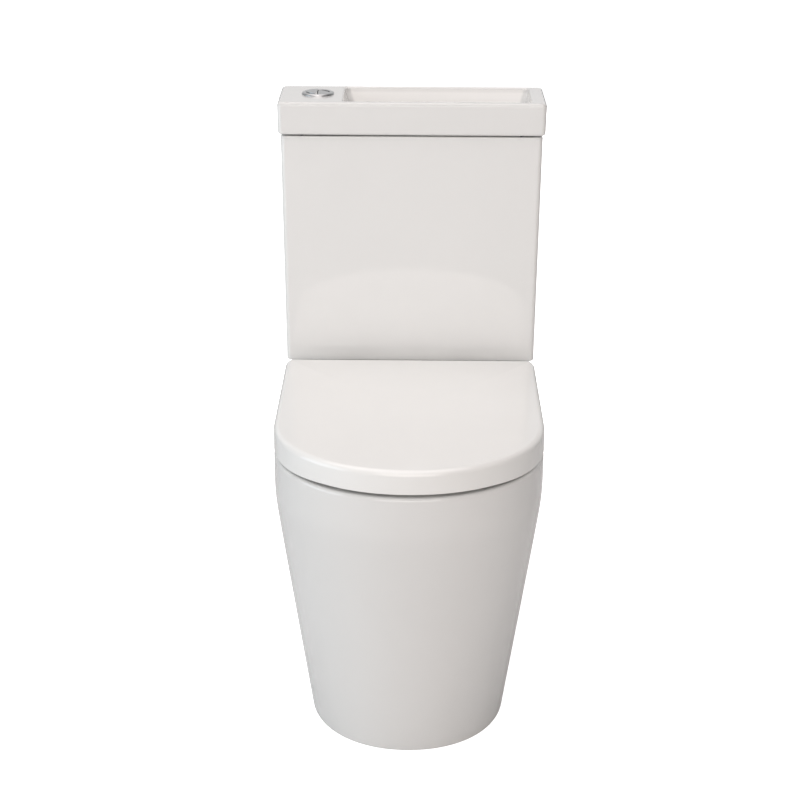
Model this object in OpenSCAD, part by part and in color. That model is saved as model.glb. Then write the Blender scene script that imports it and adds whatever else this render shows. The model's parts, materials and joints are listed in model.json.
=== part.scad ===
// Back-to-wall toilet whose cistern cover is a hand basin. Millimetres, +Z up, front towards -Y.
// The origin is on the floor, midway between the front of the seat and the wall.

/* [Overall] */
// Depth from the front of the seat to the wall
total_depth = 600; // [560:1:680]
// Distance of the flush valve and button axis from the wall
service_from_wall = 65; // [62:1:70]

/* [Pan] */
// Width of the pan at the rim
pan_w = 360; // [340:1:400]
// Width of the pan at the floor
pan_base_w = 269; // [240:1:320]
// Height of the ceramic rim
rim_z = 404; // [385:1:440]
// Height where the tapered skirt turns upright
pan_knee_z = 347; // [300:1:365]
// Softness of that turn
pan_knee_soft = 2.8; // [1:0.1:8]
// How far the rim sits behind the front of the seat
pan_setback = 2; // [1:0.5:8]
// How far the foot sits behind the rim at the front
pan_foot_back = 88; // [40:1:120]
// Length of the curved nose at the rim
rim_nose = 187; // [160:1:200]
// Length of the curved nose at the foot
foot_nose = 163; // [130:1:180]
// Wall of the skirt
skirt_t = 12; // [9:0.5:16]
// Thickness of the rim and the hinge deck
deck_t = 12; // [10:0.5:16]
// Radius of the rim's outer edge
rim_r = 8; // [4:0.5:10]
// Radius of the two rear corners in plan
pan_corner_r = 10; // [6:1:20]

/* [Bowl] */
// Half width of the bowl's opening
bowl_a = 142; // [130:1:146]
// Distance from the bowl's middle to its front
bowl_front = 173; // [160:1:178]
// Distance from the bowl's middle to its back
bowl_back = 155; // [140:1:160]
// Distance of the bowl's middle from the wall
bowl_from_wall = 385; // [380:1:390]
// Radius of the edge into the bowl
bowl_r = 6; // [3:0.5:8]
// Wall of the bowl, measured level
bowl_t = 12; // [9:0.5:14]
// Distance of the sump's middle from the wall
sump_from_wall = 340; // [330:1:350]
// Half width of the sump
sump_a = 46; // [42:1:52]
// Height of the sump's floor
sump_z = 56; // [48:1:70]

/* [Trap and outlet] */
// Radius of the water way
trap_r = 30; // [26:1:32]
// Wall of the water way
trap_t = 8; // [7:0.5:10]
// Bend radius of the water way's middle line
bend_r = 46; // [44:1:50]
// How steeply the water way rises, in degrees
trap_rise = 80; // [70:1:84]
// How steeply it falls towards the outlet, in degrees
trap_fall = 25; // [20:1:30]
// Height of the middle line at the weir
weir_z = 198; // [194:1:205]
// Height of the outlet's axis
outlet_z = 180; // [175:1:190]
// Radius of the outlet spigot
outlet_r = 51; // [50:0.5:52]
// Length of the outlet spigot
outlet_len = 46; // [40:1:50]
// Distance of the outlet's end from the wall
outlet_back = 18; // [12:1:30]

/* [Platform and flush way] */
// Height of the platform under the cistern, above the rim
platform_h = 24; // [20:1:30]
// Width of the platform
platform_w = 344; // [330:1:356]
// Depth of the platform from the wall
platform_d = 132; // [128:1:136]
// Top thickness of the platform
platform_t = 13; // [10:1:16]
// Side and front walls of the platform
platform_wall = 14; // [10:1:18]
// Radius of the recess for the valve's backnut
spud_r = 48; // [46:1:52]
// Depth of that recess
spud_d = 22; // [20:1:23]
// Radius of the flush way
flush_r = 33; // [32:0.5:36]
// Width of the flush way into the bowl
flush_w = 64; // [50:1:70]
// Height of the flush way into the bowl
flush_h = 28; // [20:1:32]
// Wall of the flush way
flush_t = 10; // [8:1:14]
// Half width of the two notches that let the water supply through
notch_half = 23; // [22:1:24]

/* [Seat] */
// Width of the seat lid
seat_w = 360; // [350:1:400]
// Length of the curved nose of the lid
seat_nose = 189; // [160:1:200]
// Distance from the wall to the back edge of the lid
lid_from_wall = 157; // [155:1:165]
// Height of the lid's lower edge above the rim
lid_gap = 6.5; // [5:0.5:9]
// Height of the lid from its lower edge to its top
lid_h = 31.5; // [30:0.5:36]
// Thickness of the lid
lid_t = 4.5; // [3.5:0.5:5]
// Radius of the lid's top edge
lid_r = 8; // [5:0.5:9]
// Rise of the lid's crown
lid_crown = 1.5; // [0.5:0.1:3]
// Gap between the ring and the lid's side
ring_side_gap = 4; // [2:0.5:6]
// Height of the ring's underside above the rim
ring_lift = 5; // [4:0.5:6]
// Thickness of the ring
ring_h = 22; // [18:0.5:22]
// Half width of the ring's opening
ring_a = 108; // [95:1:115]
// Distance from the bowl's middle to the front of the ring's opening
ring_front = 140; // [120:1:150]
// Distance from the bowl's middle to the back of the ring's opening
ring_back = 112; // [100:1:120]
// Distance from the wall to the ring's back edge
ring_from_wall = 197; // [195:1:205]

/* [Hinges] */
// Distance between the two hinge posts
hinge_pitch = 155; // [150:1:160]
// Distance of the hinge axis from the wall
hinge_from_wall = 176; // [175:0.5:177]
// Height of the hinge axis above the rim
hinge_up = 23; // [22.5:0.5:23.5]
// Radius of the hinge pin
pin_r = 4; // [3:0.25:4.5]
// Running clearance on the pins
pin_gap = 0.06; // [0.02:0.01:0.09]
// Outer radius of the bushes and dampers
bush_r = 7; // [6:0.25:7.25]
// Outer radius of the knuckles
knuckle_r = 9.5; // [9:0.25:9.75]
// Length of each knuckle
knuckle_len = 20; // [16:1:24]
// Width of each post
post_w = 16; // [12:1:18]
// Radius of each post's foot
post_foot_r = 12; // [11:0.5:12]
// Thickness of each post's foot
post_foot_t = 3; // [2:0.25:3]

/* [Cistern] */
// Width of the cistern at its top
cistern_top_w = 371; // [350:1:374]
// Width of the cistern at its bottom
cistern_bot_w = 361; // [350:1:371]
// Depth of the cistern
cistern_d = 125; // [122:1:126]
// Gap between the cistern and the wall
cistern_back = 2; // [1:0.5:4]
// Gap between the platform and the cistern
cistern_gap = 3; // [2:0.5:5]
// Height of the cistern body
cistern_h = 332.5; // [325:0.5:345]
// Wall of the cistern
cistern_t = 9; // [7:0.5:10]
// Floor of the cistern
cistern_floor = 12; // [10:0.5:14]
// Radius of the upright edges in plan
cistern_r = 14; // [12:1:20]
// Distance between the holes for the wall screws
wall_pitch = 200; // [150:5:240]
// Radius of the holes for the wall screws
wall_hole_r = 4; // [3:0.25:5]
// Height of these holes below the cistern's top
wall_hole_down = 62; // [50:1:80]

/* [Basin] */
// Width of the basin cover at its top
basin_w = 380; // [376:1:390]
// How much narrower the cover is at its lower edge, each side
basin_flare = 1.2; // [0:0.1:3]
// Depth of the basin cover
basin_d = 132; // [131:1:134]
// Height of the basin cover
basin_h = 46; // [44:0.5:50]
// Thickness of the pads under the cover
pad_t = 2.5; // [2:0.25:4]
// Radius of the cover's upright edges in plan
basin_r = 14; // [12:1:20]
// Radius of the cover's top edge
basin_edge_r = 5; // [3:0.5:6]
// Left end of the recess, measured from the middle
recess_left = 95; // [92:1:98]
// Rim to the right of the recess
recess_rim_x = 14; // [12:1:18]
// Rim in front of the recess
recess_rim_front = 13; // [12:1:16]
// Rim behind the recess
recess_rim_back = 10; // [9:1:14]
// Depth of the recess
recess_depth = 70; // [60:1:72]
// How much each wall of the recess leans in, as a share of its depth
recess_lean = 0.29; // [0.27:0.01:0.34]
// Thickness of the basin's bottom and walls
basin_t = 9; // [8:0.5:10]
// Thickness of the button deck
button_deck_t = 10; // [8:0.5:12]

/* [Basin waste] */
// Distance of the waste to the right of the middle
waste_x = 40; // [36:1:46]
// Radius of the grid
waste_r = 23; // [22:0.5:23.5]
// Radius of the waste's tail
waste_tail_r = 16; // [15:0.5:17]
// Length of the waste's tail below the basin
waste_tail = 24; // [22:1:26]

/* [Button] */
// Distance of the button to the left of the middle
button_x = 135; // [134:1:137]
// Outer radius of the bezel
bezel_r = 23.2; // [22:0.1:24]
// Height of the bezel above the deck
bezel_h = 3.2; // [2:0.1:4]
// Outer radius of the threaded sleeve
sleeve_r = 18.5; // [18:0.1:19]
// Length of the sleeve below the deck's top
sleeve_len = 40; // [36:1:44]
// Radius of the two half buttons together
button_r = 16.6; // [16.4:0.1:16.8]
// Gap between the half buttons
button_gap = 0.9; // [0.6:0.1:1.2]
// Height of the full-flush button above the bezel
button_up = 0.4; // [0.2:0.1:3]
// How much higher the half-flush button stands
button_step = 2.4; // [0:0.1:3]
// Travel of the buttons
button_travel = 8; // [6:0.5:8]
// Radius of the rods
rod_r = 3; // [2.5:0.1:3]
// Offset of each rod from the button's axis, both ways
rod_off = 8; // [7.8:0.1:8.2]
// Turns of each button spring
spring_turns = 6; // [4:1:8]
// Radius of the spring's middle line
spring_r = 4.2; // [4:0.1:4.4]
// Radius of the spring wire
spring_wire = 0.5; // [0.4:0.05:0.6]

/* [Flush valve] */
// Radius of the valve's tail
tail_r = 30; // [28:0.5:31]
// Radius of the water way through the tail
tail_bore = 25; // [22:0.5:26]
// Radius of the valve's flange
flange_r = 42; // [40:0.5:46]
// Height of the cage's top ring above the cistern floor
cage_h = 117; // [110:1:122]
// Radius of the overflow tube
overflow_r = 15; // [13:0.5:15.5]
// Height of the overflow tube above the cistern floor
overflow_h = 222; // [215:1:226]
// Distance of the levers' pivot from the valve's axis
pivot_x = 100; // [98:1:102]
// Height of the levers' pivot above the cistern floor
pivot_h = 200; // [195:1:203]
// Radius of the pivot pin
pivot_r = 2.5; // [2:0.25:3]
// Thickness of each lever
lever_t = 5; // [4:0.5:5.5]
// Half height of each lever
lever_half = 3; // [2.5:0.25:3.5]
// Distance from the valve's axis to each lever's tip
lever_tip = 20.5; // [20:0.25:22]
// Free play between lever, rod and lug
play = 0.6; // [0.4:0.1:0.8]

/* [Inlet valve] */
// Distance of the inlet valve from the middle
inlet_x = 104; // [103:1:106]
// Radius of the thread for the water supply
inlet_r = 10.3; // [10:0.1:10.5]
// Free length of that thread
inlet_len = 25; // [20:1:30]
// Radius of the riser
riser_r = 12; // [10:0.5:13]
// Height of the valve above the cistern floor
inlet_h = 250; // [240:1:255]
// Radius of the float
float_r = 29; // [26:0.5:30]
// Height of the float
float_h = 60; // [50:1:66]
// Rise of the float
float_travel = 50; // [40:1:54]

/* [Fixings] */
// Distance between the bolts that hold the cistern
bolt_pitch = 138; // [138:1:140]
// Radius of these bolts
bolt_r = 4; // [3:0.25:4.5]
// Distance between the floor holes of the brackets
floor_pitch = 196; // [190:1:200]
// Radius of these floor holes
floor_hole_r = 4.5; // [3.5:0.25:5.5]
// Distance of the floor brackets from the wall
bracket_from_wall = 215; // [205:1:225]
// Radius of the screw caps on the skirt
cap_r = 8; // [6:0.5:10]

/* [Hidden] */
$fn = 64;

glaze = "whitesmoke";
seat_white = "white";
plastic = "gainsboro";
rubber = "dimgray";
steel = "silver";

// Steps of the outlines, fine enough for a smooth look
nose_steps = 24;
seat_nose_steps = 34;
side_steps = 3;
corner_steps = 3;
back_steps = 6;
rect_corner_steps = 5;
bowl_steps = 8;
tube_sides = 16;
bend_steps = 5;
cut = 1;           // how far a cutting tool runs past a face
touch = 0.3;       // gap between pieces of different bodies that meet
nut_clear = 0.3;   // clearance of a nut or washer around its bolt
fit_gap = 0.03;    // clearance of a fixed fit

front_y = -total_depth / 2;
wall_y = total_depth / 2;
service_y = wall_y - service_from_wall;
bowl_y = wall_y - bowl_from_wall;
sump_y = wall_y - sump_from_wall;
platform_z = rim_z + platform_h;
hinge_y = wall_y - hinge_from_wall;
hinge_z = rim_z + hinge_up;
lid_z = rim_z + lid_gap;
lid_top = lid_z + lid_h;
lid_under = lid_top - lid_t;
lid_back_y = wall_y - lid_from_wall;
ring_z = rim_z + ring_lift;
ring_top = ring_z + ring_h;
cistern_z = platform_z + cistern_gap;
cistern_top = cistern_z + cistern_h;
tank_floor = cistern_z + cistern_floor;
cistern_y = wall_y - cistern_back - cistern_d / 2;
basin_z = cistern_top + pad_t;
basin_top = basin_z + basin_h;
basin_y = wall_y - basin_d / 2;
recess_z = basin_top - recess_depth;
washer_t = 3;
nut_t = 10;
half_rod_x = -button_x - rod_off;
full_rod_x = -button_x + rod_off;
half_y = service_y - rod_off;
full_y = service_y + rod_off;
pivot_z = tank_floor + pivot_h;
lever_top = pivot_z + lever_half;
full_arm = full_rod_x + pivot_x;
half_arm = half_rod_x + pivot_x;

function lerp(a, b, t) = a + (b - a) * t;
// The lower of two values, with a soft turn where they cross
function soft_min(a, b, k) = (a + b - sqrt(pow(a - b, 2) + k * k)) / 2;
function signed_pow(v, p) = sign(v) * pow(abs(v), p);

// ---- Outlines, each a ring of points that runs counter-clockwise seen from above ----

// A curved nose towards -Y, straight sides and a straight back with rounded corners
function d_ring(half, front, back, nose, power, r, z, steps) =
    let (y0 = front + nose) concat(
        [for (i = [0:side_steps - 1]) [half, lerp(y0, back - r, i / side_steps), z]],
        [for (i = [0:corner_steps])
            let (a = 90 * i / corner_steps) [half - r + r * cos(a), back - r + r * sin(a), z]],
        [for (i = [1:back_steps - 1]) [lerp(half - r, r - half, i / back_steps), back, z]],
        [for (i = [0:corner_steps])
            let (a = 90 + 90 * i / corner_steps) [r - half + r * cos(a), back - r + r * sin(a), z]],
        [for (i = [1:side_steps - 1]) [-half, lerp(back - r, y0, i / side_steps), z]],
        [for (i = [0:steps - 1])
            let (a = 180 + 180 * i / steps)
            [half * signed_pow(cos(a), 2 / power), y0 + nose * signed_pow(sin(a), 2 / power), z]]
    );

// An egg-shaped ring whose points lie in the given directions from its middle
function oval_ring(dirs, cy, a, front, back, power, z) = [
    for (d = dirs)
        let (b = sin(d) < 0 ? front : back,
             r = pow(pow(abs(cos(d)) / a, power) + pow(abs(sin(d)) / b, power), -1 / power))
        [r * cos(d), cy + r * sin(d), z]
];

// A rectangle with rounded corners
function rect_ring(cx, cy, hx, hy, r, z) = [
    for (q = [0:3]) for (i = [0:rect_corner_steps])
        let (a = 90 * (q - 1) + 90 * i / rect_corner_steps,
             sx = (q == 0 || q == 1) ? 1 : -1,
             sy = (q == 0 || q == 3) ? -1 : 1)
        [cx + sx * (hx - r) + r * cos(a), cy + sy * (hy - r) + r * sin(a), z]
];

// ---- Solids from rings ----

// Side faces between ring k and ring j of n points
function band(k, j, n) = [
    for (i = [0:n - 1])
        let (a = k * n + i, b = k * n + (i + 1) % n, c = j * n + (i + 1) % n, d = j * n + i)
        each [[a, d, c], [a, c, b]]
];

// Closed solid through rings, capped at both ends
module loft(rings) {
    n = len(rings[0]);
    last = len(rings) - 1;
    polyhedron(
        points = [for (ring = rings) each ring],
        faces = concat(
            [[for (i = [0:n - 1]) i]],
            [for (k = [0:last - 1]) each band(k, k + 1, n)],
            [[for (i = [n - 1:-1:0]) last * n + i]]
        )
    );
}

// Closed solid through rings whose last ring meets its first, like a tyre
module ring_loft(rings) {
    n = len(rings[0]);
    m = len(rings);
    polyhedron(
        points = [for (ring = rings) each ring],
        faces = [for (k = [0:m - 1]) each band(k, (k + 1) % m, n)]
    );
}

module at_both(x) {
    for (side = [-1, 1])
        translate([side * x, 0, 0]) children();
}

module tube(outer, inner, h) {
    difference() {
        cylinder(r = outer, h = h);
        translate([0, 0, -cut]) cylinder(r = inner, h = h + 2 * cut);
    }
}

module hex_nut(outer, inner, h) {
    difference() {
        cylinder(r = outer, h = h, $fn = 6);
        translate([0, 0, -cut]) cylinder(r = inner, h = h + 2 * cut);
    }
}

// Wing nut that hangs down from its seat at z = 0
module wing_nut(inner) {
    boss_r = inner + 4;
    wing = [16, 2.5, 12];
    difference() {
        union() {
            translate([0, 0, -nut_t]) cylinder(r = boss_r, h = nut_t);
            for (turn = [0, 180])
                rotate([0, 0, turn])
                    translate([boss_r - 1, -wing.y / 2, -nut_t]) cube(wing - [6, 0, 3]);
        }
        translate([0, 0, -nut_t - cut]) cylinder(r = inner, h = nut_t + 2 * cut);
    }
}

// ---- Pan ----

function pan_half(z) =
    soft_min(pan_w / 2, lerp(pan_base_w, pan_w, z / pan_knee_z) / 2, pan_knee_soft);
rim_front = front_y + pan_setback;
function pan_front(z) =
    -soft_min(-rim_front, -rim_front - pan_foot_back * (1 - z / pan_knee_z), pan_knee_soft);
function pan_nose(z) = lerp(foot_nose, rim_nose, z / rim_z);
pan_power = 2.1;
function pan_ring(z, inset, steps = nose_steps) =
    d_ring(pan_half(z) - inset, pan_front(z) + inset, wall_y - inset, pan_nose(z) - inset,
           pan_power, pan_corner_r, z, steps);

bowl_dirs = [for (p = pan_ring(rim_z, rim_r)) atan2(p.y - bowl_y, p.x)];
bowl_power = 2.15;
sump_front = sump_a - 4;
function bowl_share(t) = (1 + cos(180 * pow(t, 1.1))) / 2;
// Ring of the bowl at depth share t, from the rim at 0 to the sump at 1
function bowl_ring(t, grow, z) =
    let (s = bowl_share(t))
    oval_ring(bowl_dirs, lerp(sump_y, bowl_y, s), lerp(sump_a, bowl_a, s) + grow,
              lerp(sump_front, bowl_front, s) + grow, lerp(sump_a, bowl_back, s) + grow,
              bowl_power, z);

under_z = rim_z - deck_t;
sump_round = 10;
knee_z = [pan_knee_z - 60, pan_knee_z - 28, pan_knee_z - 8, pan_knee_z + 10, pan_knee_z + 30];

function pan_rings() = concat(
    [bowl_ring(1, bowl_t - sump_round, sump_z - bowl_t)],
    [for (i = [bowl_steps:-1:0])
        let (t = i / bowl_steps) bowl_ring(t, bowl_t, lerp(under_z, sump_z - bowl_t + 4, t))],
    [for (z = [under_z, knee_z[4], knee_z[2], knee_z[0], 0]) pan_ring(z, skirt_t)],
    [pan_ring(0, 2), pan_ring(2, 0)],
    [for (z = concat([110, 210], knee_z)) pan_ring(z, 0)],
    [for (a = [0:30:90]) pan_ring(rim_z - rim_r * (1 - sin(a)), rim_r * (1 - cos(a)))],
    [for (a = [0:45:90]) bowl_ring(0, bowl_r * (1 - sin(a)), rim_z - bowl_r * (1 - cos(a)))],
    [for (i = [1:bowl_steps])
        let (t = i / bowl_steps) bowl_ring(t, 0, lerp(rim_z - bowl_r, sump_z + 4, t))],
    [bowl_ring(1, -sump_round, sump_z)]
);

// Middle line of the water way from the sump over the weir to the outlet, as [y, z, heading]
function bend(p, turn) =
    let (side = sign(turn), c = [p.x - side * bend_r * sin(p.z), p.y + side * bend_r * cos(p.z)])
    [for (i = [0:bend_steps])
        let (h = p.z + turn * i / bend_steps)
        [c.x + side * bend_r * sin(h), c.y - side * bend_r * cos(h), h]];
function go(p, run) = [p.x + run * cos(p.z), p.y + run * sin(p.z), p.z];

spigot_y = wall_y - outlet_back - outlet_len;
trap_z = sump_z + trap_r + 2;
foot_bend = bend([sump_y + sump_a + 24, trap_z, 0], trap_rise);
foot_end = foot_bend[bend_steps];
climb = (weir_z - bend_r * (1 - cos(trap_rise)) - foot_end.y) / sin(trap_rise);
weir_bend = bend(go(foot_end, climb), -trap_rise - trap_fall);
weir_end = weir_bend[bend_steps];
drop = (weir_end.y - outlet_z - bend_r * (1 - cos(trap_fall))) / sin(trap_fall);
last_bend = bend(go(weir_end, drop), trap_fall);
trap_path = concat([[sump_y + sump_a + 9, trap_z, 0]], foot_bend, weir_bend, last_bend,
                   [[spigot_y + 1, outlet_z, 0]]);
water_path = concat([[sump_y - 10, trap_z, 0]], foot_bend, weir_bend, last_bend,
                    [[spigot_y + 1, outlet_z, 0]]);

// Round tube along such a line
function path_rings(path, r) = [
    for (p = path)
        [for (s = [0:tube_sides - 1])
            let (a = 360 * s / tube_sides)
            [r * cos(a), p.x + r * sin(a) * sin(p.z), p.y - r * sin(a) * cos(p.z)]]
];

duct_front = bowl_y + bowl_back + 4;
duct_back = service_y + flush_r + flush_t + 8;
duct_top = rim_z + 10;
duct_floor = under_z - 6 - flush_h;
pocket_top = platform_z - platform_t;
notch_y = wall_y - 92;
bracket_y = wall_y - bracket_from_wall;
bracket_screw_z = 22;
opening_low = 95;
opening_high = 118;
opening_z = 305;

module pan_shell() {
    difference() {
        union() {
            loft(pan_rings());
            translate([0, 0, under_z + 2])
                linear_extrude(platform_z - under_z - 2)
                    polygon([for (p = rect_ring(0, wall_y - platform_d / 2, platform_w / 2,
                                                platform_d / 2, pan_corner_r, 0)) [p.x, p.y]]);
        }
        // hollow under the platform
        translate([-platform_w / 2 + platform_wall, wall_y - platform_d + platform_wall, under_z - 14])
            cube([platform_w - 2 * platform_wall, platform_d - 2 * platform_wall,
                  pocket_top - under_z + 14]);
    }
}

module pan_cuts() {
    // water way, flush way and the recess above it
    loft(path_rings(water_path, trap_r));
    translate([0, spigot_y + 0.5, outlet_z]) rotate([-90, 0, 0])
        cylinder(r = outlet_r - trap_t, h = outlet_len + cut);
    translate([0, service_y, duct_floor]) cylinder(r = flush_r, h = platform_z);
    translate([0, service_y, platform_z - spud_d]) cylinder(r = spud_r, h = spud_d + cut);
    translate([-flush_w / 2, bowl_y + bowl_back - 22, duct_floor])
        cube([flush_w, service_y - bowl_y - bowl_back + 22, flush_h]);
    // hinge bolts and coupling bolts
    at_both(hinge_pitch / 2)
        translate([0, hinge_y, under_z - cut]) cylinder(r = bolt_r + 2.5, h = deck_t + 2 * cut);
    at_both(bolt_pitch / 2)
        translate([0, service_y, pocket_top - cut]) cylinder(r = bolt_r + 2.5, h = platform_t + 2 * cut);
    // notches for the water supply
    at_both(inlet_x)
        translate([-notch_half, notch_y, under_z - 20]) cube([2 * notch_half, 100, platform_h + 60]);
    // open back
    translate([0, wall_y + cut, 0]) rotate([90, 0, 0])
        linear_extrude(skirt_t + 2 * cut)
            polygon([[-opening_low, -cut], [opening_low, -cut], [opening_high, opening_z - 30],
                     [opening_high - 30, opening_z], [30 - opening_high, opening_z],
                     [-opening_high, opening_z - 30]]);
    // screws of the floor brackets, with a flat seat for each cap
    for (side = [-1, 1])
        translate([side * (pan_half(bracket_screw_z) - 3), bracket_y, bracket_screw_z])
            rotate([0, side * 90, 0]) {
                cylinder(r = cap_r + 0.5, h = 20);
                translate([0, 0, -30]) cylinder(r = bolt_r, h = 40);
            }
}

module pan() {
    color(glaze) difference() {
        union() {
            pan_shell();
            loft(path_rings(trap_path, trap_r + trap_t));
            translate([0, spigot_y, outlet_z]) rotate([-90, 0, 0])
                cylinder(r = outlet_r, h = outlet_len);
            translate([-flush_w / 2 - flush_t, duct_front, duct_floor - flush_t])
                cube([flush_w + 2 * flush_t, duct_back - duct_front, under_z + 4 - duct_floor + flush_t]);
            translate([-spud_r - flush_t, wall_y - platform_d + platform_wall - 2, duct_floor - flush_t])
                cube([2 * (spud_r + flush_t), platform_d - 2 * platform_wall + 4,
                      pocket_top + 2 - duct_floor + flush_t]);
        }
        pan_cuts();
    }
}

// ---- Floor fixings ----

bracket_w = 34;
bracket_d = 32;
bracket_h = 42;
bracket_t = 5;
bracket_face = pan_base_w / 2 - skirt_t - 0.4;

module floor_brackets() {
    color(plastic) for (side = [0, 1]) mirror([side, 0, 0])
        translate([0, bracket_y, 0]) difference() {
            union() {
                translate([bracket_face - bracket_w - 4, -bracket_d / 2, 0])
                    cube([bracket_w + 4, bracket_d, bracket_t]);
                translate([bracket_face - 2 * bracket_t, -bracket_d / 2, 0])
                    cube([2 * bracket_t, bracket_d, bracket_h]);
                // two webs brace the upright
                for (y = [-bracket_d / 2, bracket_d / 2 - 3])
                    translate([bracket_face - 2 * bracket_t, y + 3, bracket_t]) rotate([90, 0, 0])
                        linear_extrude(3) polygon([[0.5, 0], [-18, 0], [0.5, 26]]);
            }
            translate([floor_pitch / 2, 0, -cut]) cylinder(r = floor_hole_r, h = bracket_t + 2 * cut);
            translate([bracket_face + cut, 0, bracket_screw_z]) rotate([0, -90, 0])
                cylinder(r = 2.5, h = 2 * bracket_t + 2 * cut);
        }
}

module bracket_screws() {
    head_x = pan_half(bracket_screw_z) - 3;
    color(steel) for (side = [-1, 1])
        translate([side * head_x, bracket_y, bracket_screw_z]) rotate([0, side * 90, 0]) {
            cylinder(r = 6.5, h = 1.2);
            translate([0, 0, bracket_face - 2 * bracket_t - head_x - 2])
                cylinder(r = 2.4, h = head_x + 2.5 + 2 * bracket_t - bracket_face);
        }
}

module screw_caps() {
    cap_t = 3.4;
    color(plastic) for (side = [-1, 1])
        translate([side * (pan_half(bracket_screw_z) - 3), bracket_y, bracket_screw_z])
            rotate([0, side * 90, 0]) difference() {
                intersection() {
                    cylinder(r = cap_r, h = cap_t);
                    translate([0, 0, cap_t - 3 * cap_r]) sphere(r = 3 * cap_r);
                }
                translate([0, 0, -cut]) cylinder(r = 6.8, h = 1.3 + cut);
            }
}

// ---- Seat ----

seat_power = 2.07;
seat_corner_r = 12;
function seat_ring_at(inset, z) =
    d_ring(seat_w / 2 - inset, front_y + inset, lid_back_y - inset, seat_nose - inset,
           seat_power, seat_corner_r - min(inset, seat_corner_r - 4), z, seat_nose_steps);
function shrink(ring, share, z) =
    [for (p = ring) [p.x * share, lerp(bowl_y, p.y, share), z]];

// The lower edge rises round the two rear corners, so that the back wall clears the rim as it
// swings under the hinge
tail_rise = 6;
function edge_ring(inset, z) = [
    for (p = seat_ring_at(inset, z))
        let (share = (p.y - lid_back_y + seat_corner_r) / 8)
        [p.x, p.y, p.z + tail_rise * max(0, min(1, share))]
];

function lid_rings() = concat(
    [seat_ring_at(lid_t + 4, lid_under), seat_ring_at(lid_t + 1.2, lid_under - 1.2),
     seat_ring_at(lid_t, lid_under - 4), edge_ring(lid_t, lid_z + 0.6), edge_ring(lid_t - 0.6, lid_z),
     edge_ring(1.5, lid_z), edge_ring(0.4, lid_z + 0.5), edge_ring(0, lid_z + 1.8)],
    [for (a = [0:22.5:90])
        seat_ring_at(lid_r * (1 - cos(a)), lid_top - lid_crown - lid_r * (1 - sin(a)))],
    [shrink(seat_ring_at(0, 0), 0.82, lid_top - 0.45 * lid_crown),
     shrink(seat_ring_at(0, 0), 0.6, lid_top - 0.12 * lid_crown),
     shrink(seat_ring_at(0, 0), 0.25, lid_top)]
);

lid_knuckle_x = hinge_pitch / 2 + post_w / 2 + 1.5;
ring_knuckle_x = hinge_pitch / 2 - post_w / 2 - 1.5 - knuckle_len;
notch_gap = 5;

module knuckle_bar(x0) {
    translate([x0, hinge_y, hinge_z]) rotate([0, 90, 0]) cylinder(r = knuckle_r, h = knuckle_len);
}

module knuckle_bore(x0) {
    translate([x0 - cut, hinge_y, hinge_z]) rotate([0, 90, 0])
        cylinder(r = bush_r + fit_gap, h = knuckle_len + 2 * cut);
}

module seat_lid() {
    web_y = knuckle_r - 1;
    color(seat_white) difference() {
        union() {
            loft(lid_rings());
            for (side = [0, 1]) mirror([side, 0, 0]) {
                knuckle_bar(lid_knuckle_x);
                translate([lid_knuckle_x, hinge_y - web_y, hinge_z])
                    cube([knuckle_len, 2 * web_y, lid_under - hinge_z + 1]);
            }
        }
        for (side = [0, 1]) mirror([side, 0, 0]) {
            knuckle_bore(lid_knuckle_x);
            // the back wall is open where it swings past each post
            translate([hinge_pitch / 2 - post_w / 2 - notch_gap, hinge_y + knuckle_r + 0.5, lid_z - cut])
                cube([post_w + 2 * notch_gap, lid_from_wall, lid_under - lid_z + cut + 0.8]);
        }
    }
}

ring_inset = lid_t + ring_side_gap;
ring_outer = d_ring(seat_w / 2 - ring_inset, front_y + ring_inset, wall_y - ring_from_wall,
                    seat_nose - ring_inset, seat_power, seat_corner_r, 0, seat_nose_steps);
ring_inner = oval_ring([for (p = ring_outer) atan2(p.y - bowl_y, p.x)], bowl_y, ring_a,
                       ring_front, ring_back, 2.2, 0);
function ring_at(share, z) =
    [for (i = [0:len(ring_outer) - 1])
        let (p = lerp(ring_outer[i], ring_inner[i], share)) [p.x, p.y, z]];
// Cross-section of the ring as [share of its width from outside to inside, height share]
ring_section = [
    [0.03, 0.03], [0, 0.16], [0, 0.72], [0.03, 0.87], [0.1, 0.96], [0.28, 1], [0.52, 0.98],
    [0.8, 0.88], [0.94, 0.76], [1, 0.56], [1, 0.2], [0.97, 0.05], [0.92, 0], [0.08, 0]
];

module seat_ring() {
    arm_y = wall_y - ring_from_wall - 12;
    arm_bottom = hinge_z - knuckle_r + 0.5;
    color(seat_white) difference() {
        union() {
            ring_loft([for (s = ring_section) ring_at(s[0], ring_z + ring_h * s[1])]);
            for (side = [0, 1]) mirror([side, 0, 0]) {
                knuckle_bar(ring_knuckle_x);
                translate([ring_knuckle_x, arm_y, arm_bottom])
                    cube([knuckle_len, hinge_y - arm_y, ring_top - 3 - arm_bottom]);
            }
        }
        for (side = [0, 1]) mirror([side, 0, 0]) knuckle_bore(ring_knuckle_x);
    }
}

// Places on the ring's outline for the four buffers, counted in outline points
side_point = 1;
front_point = len(ring_outer) - 11;
buffer_points = [side_point, front_point];
module at_buffers(share) {
    for (k = buffer_points) for (side = [0, 1]) mirror([side, 0, 0]) {
        p = lerp(ring_outer[k], ring_inner[k], share);
        translate([abs(p.x), p.y, 0]) children();
    }
}

module lid_buffers() {
    color(rubber) at_buffers(0.34)
        translate([0, 0, ring_top + touch]) cylinder(r1 = 6, r2 = 7, h = lid_under - ring_top - touch);
}

module ring_buffers() {
    color(rubber) at_buffers(0.22)
        translate([0, 0, rim_z + touch]) cylinder(r1 = 6, r2 = 7, h = ring_lift - touch);
}

// ---- Hinges ----

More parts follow.
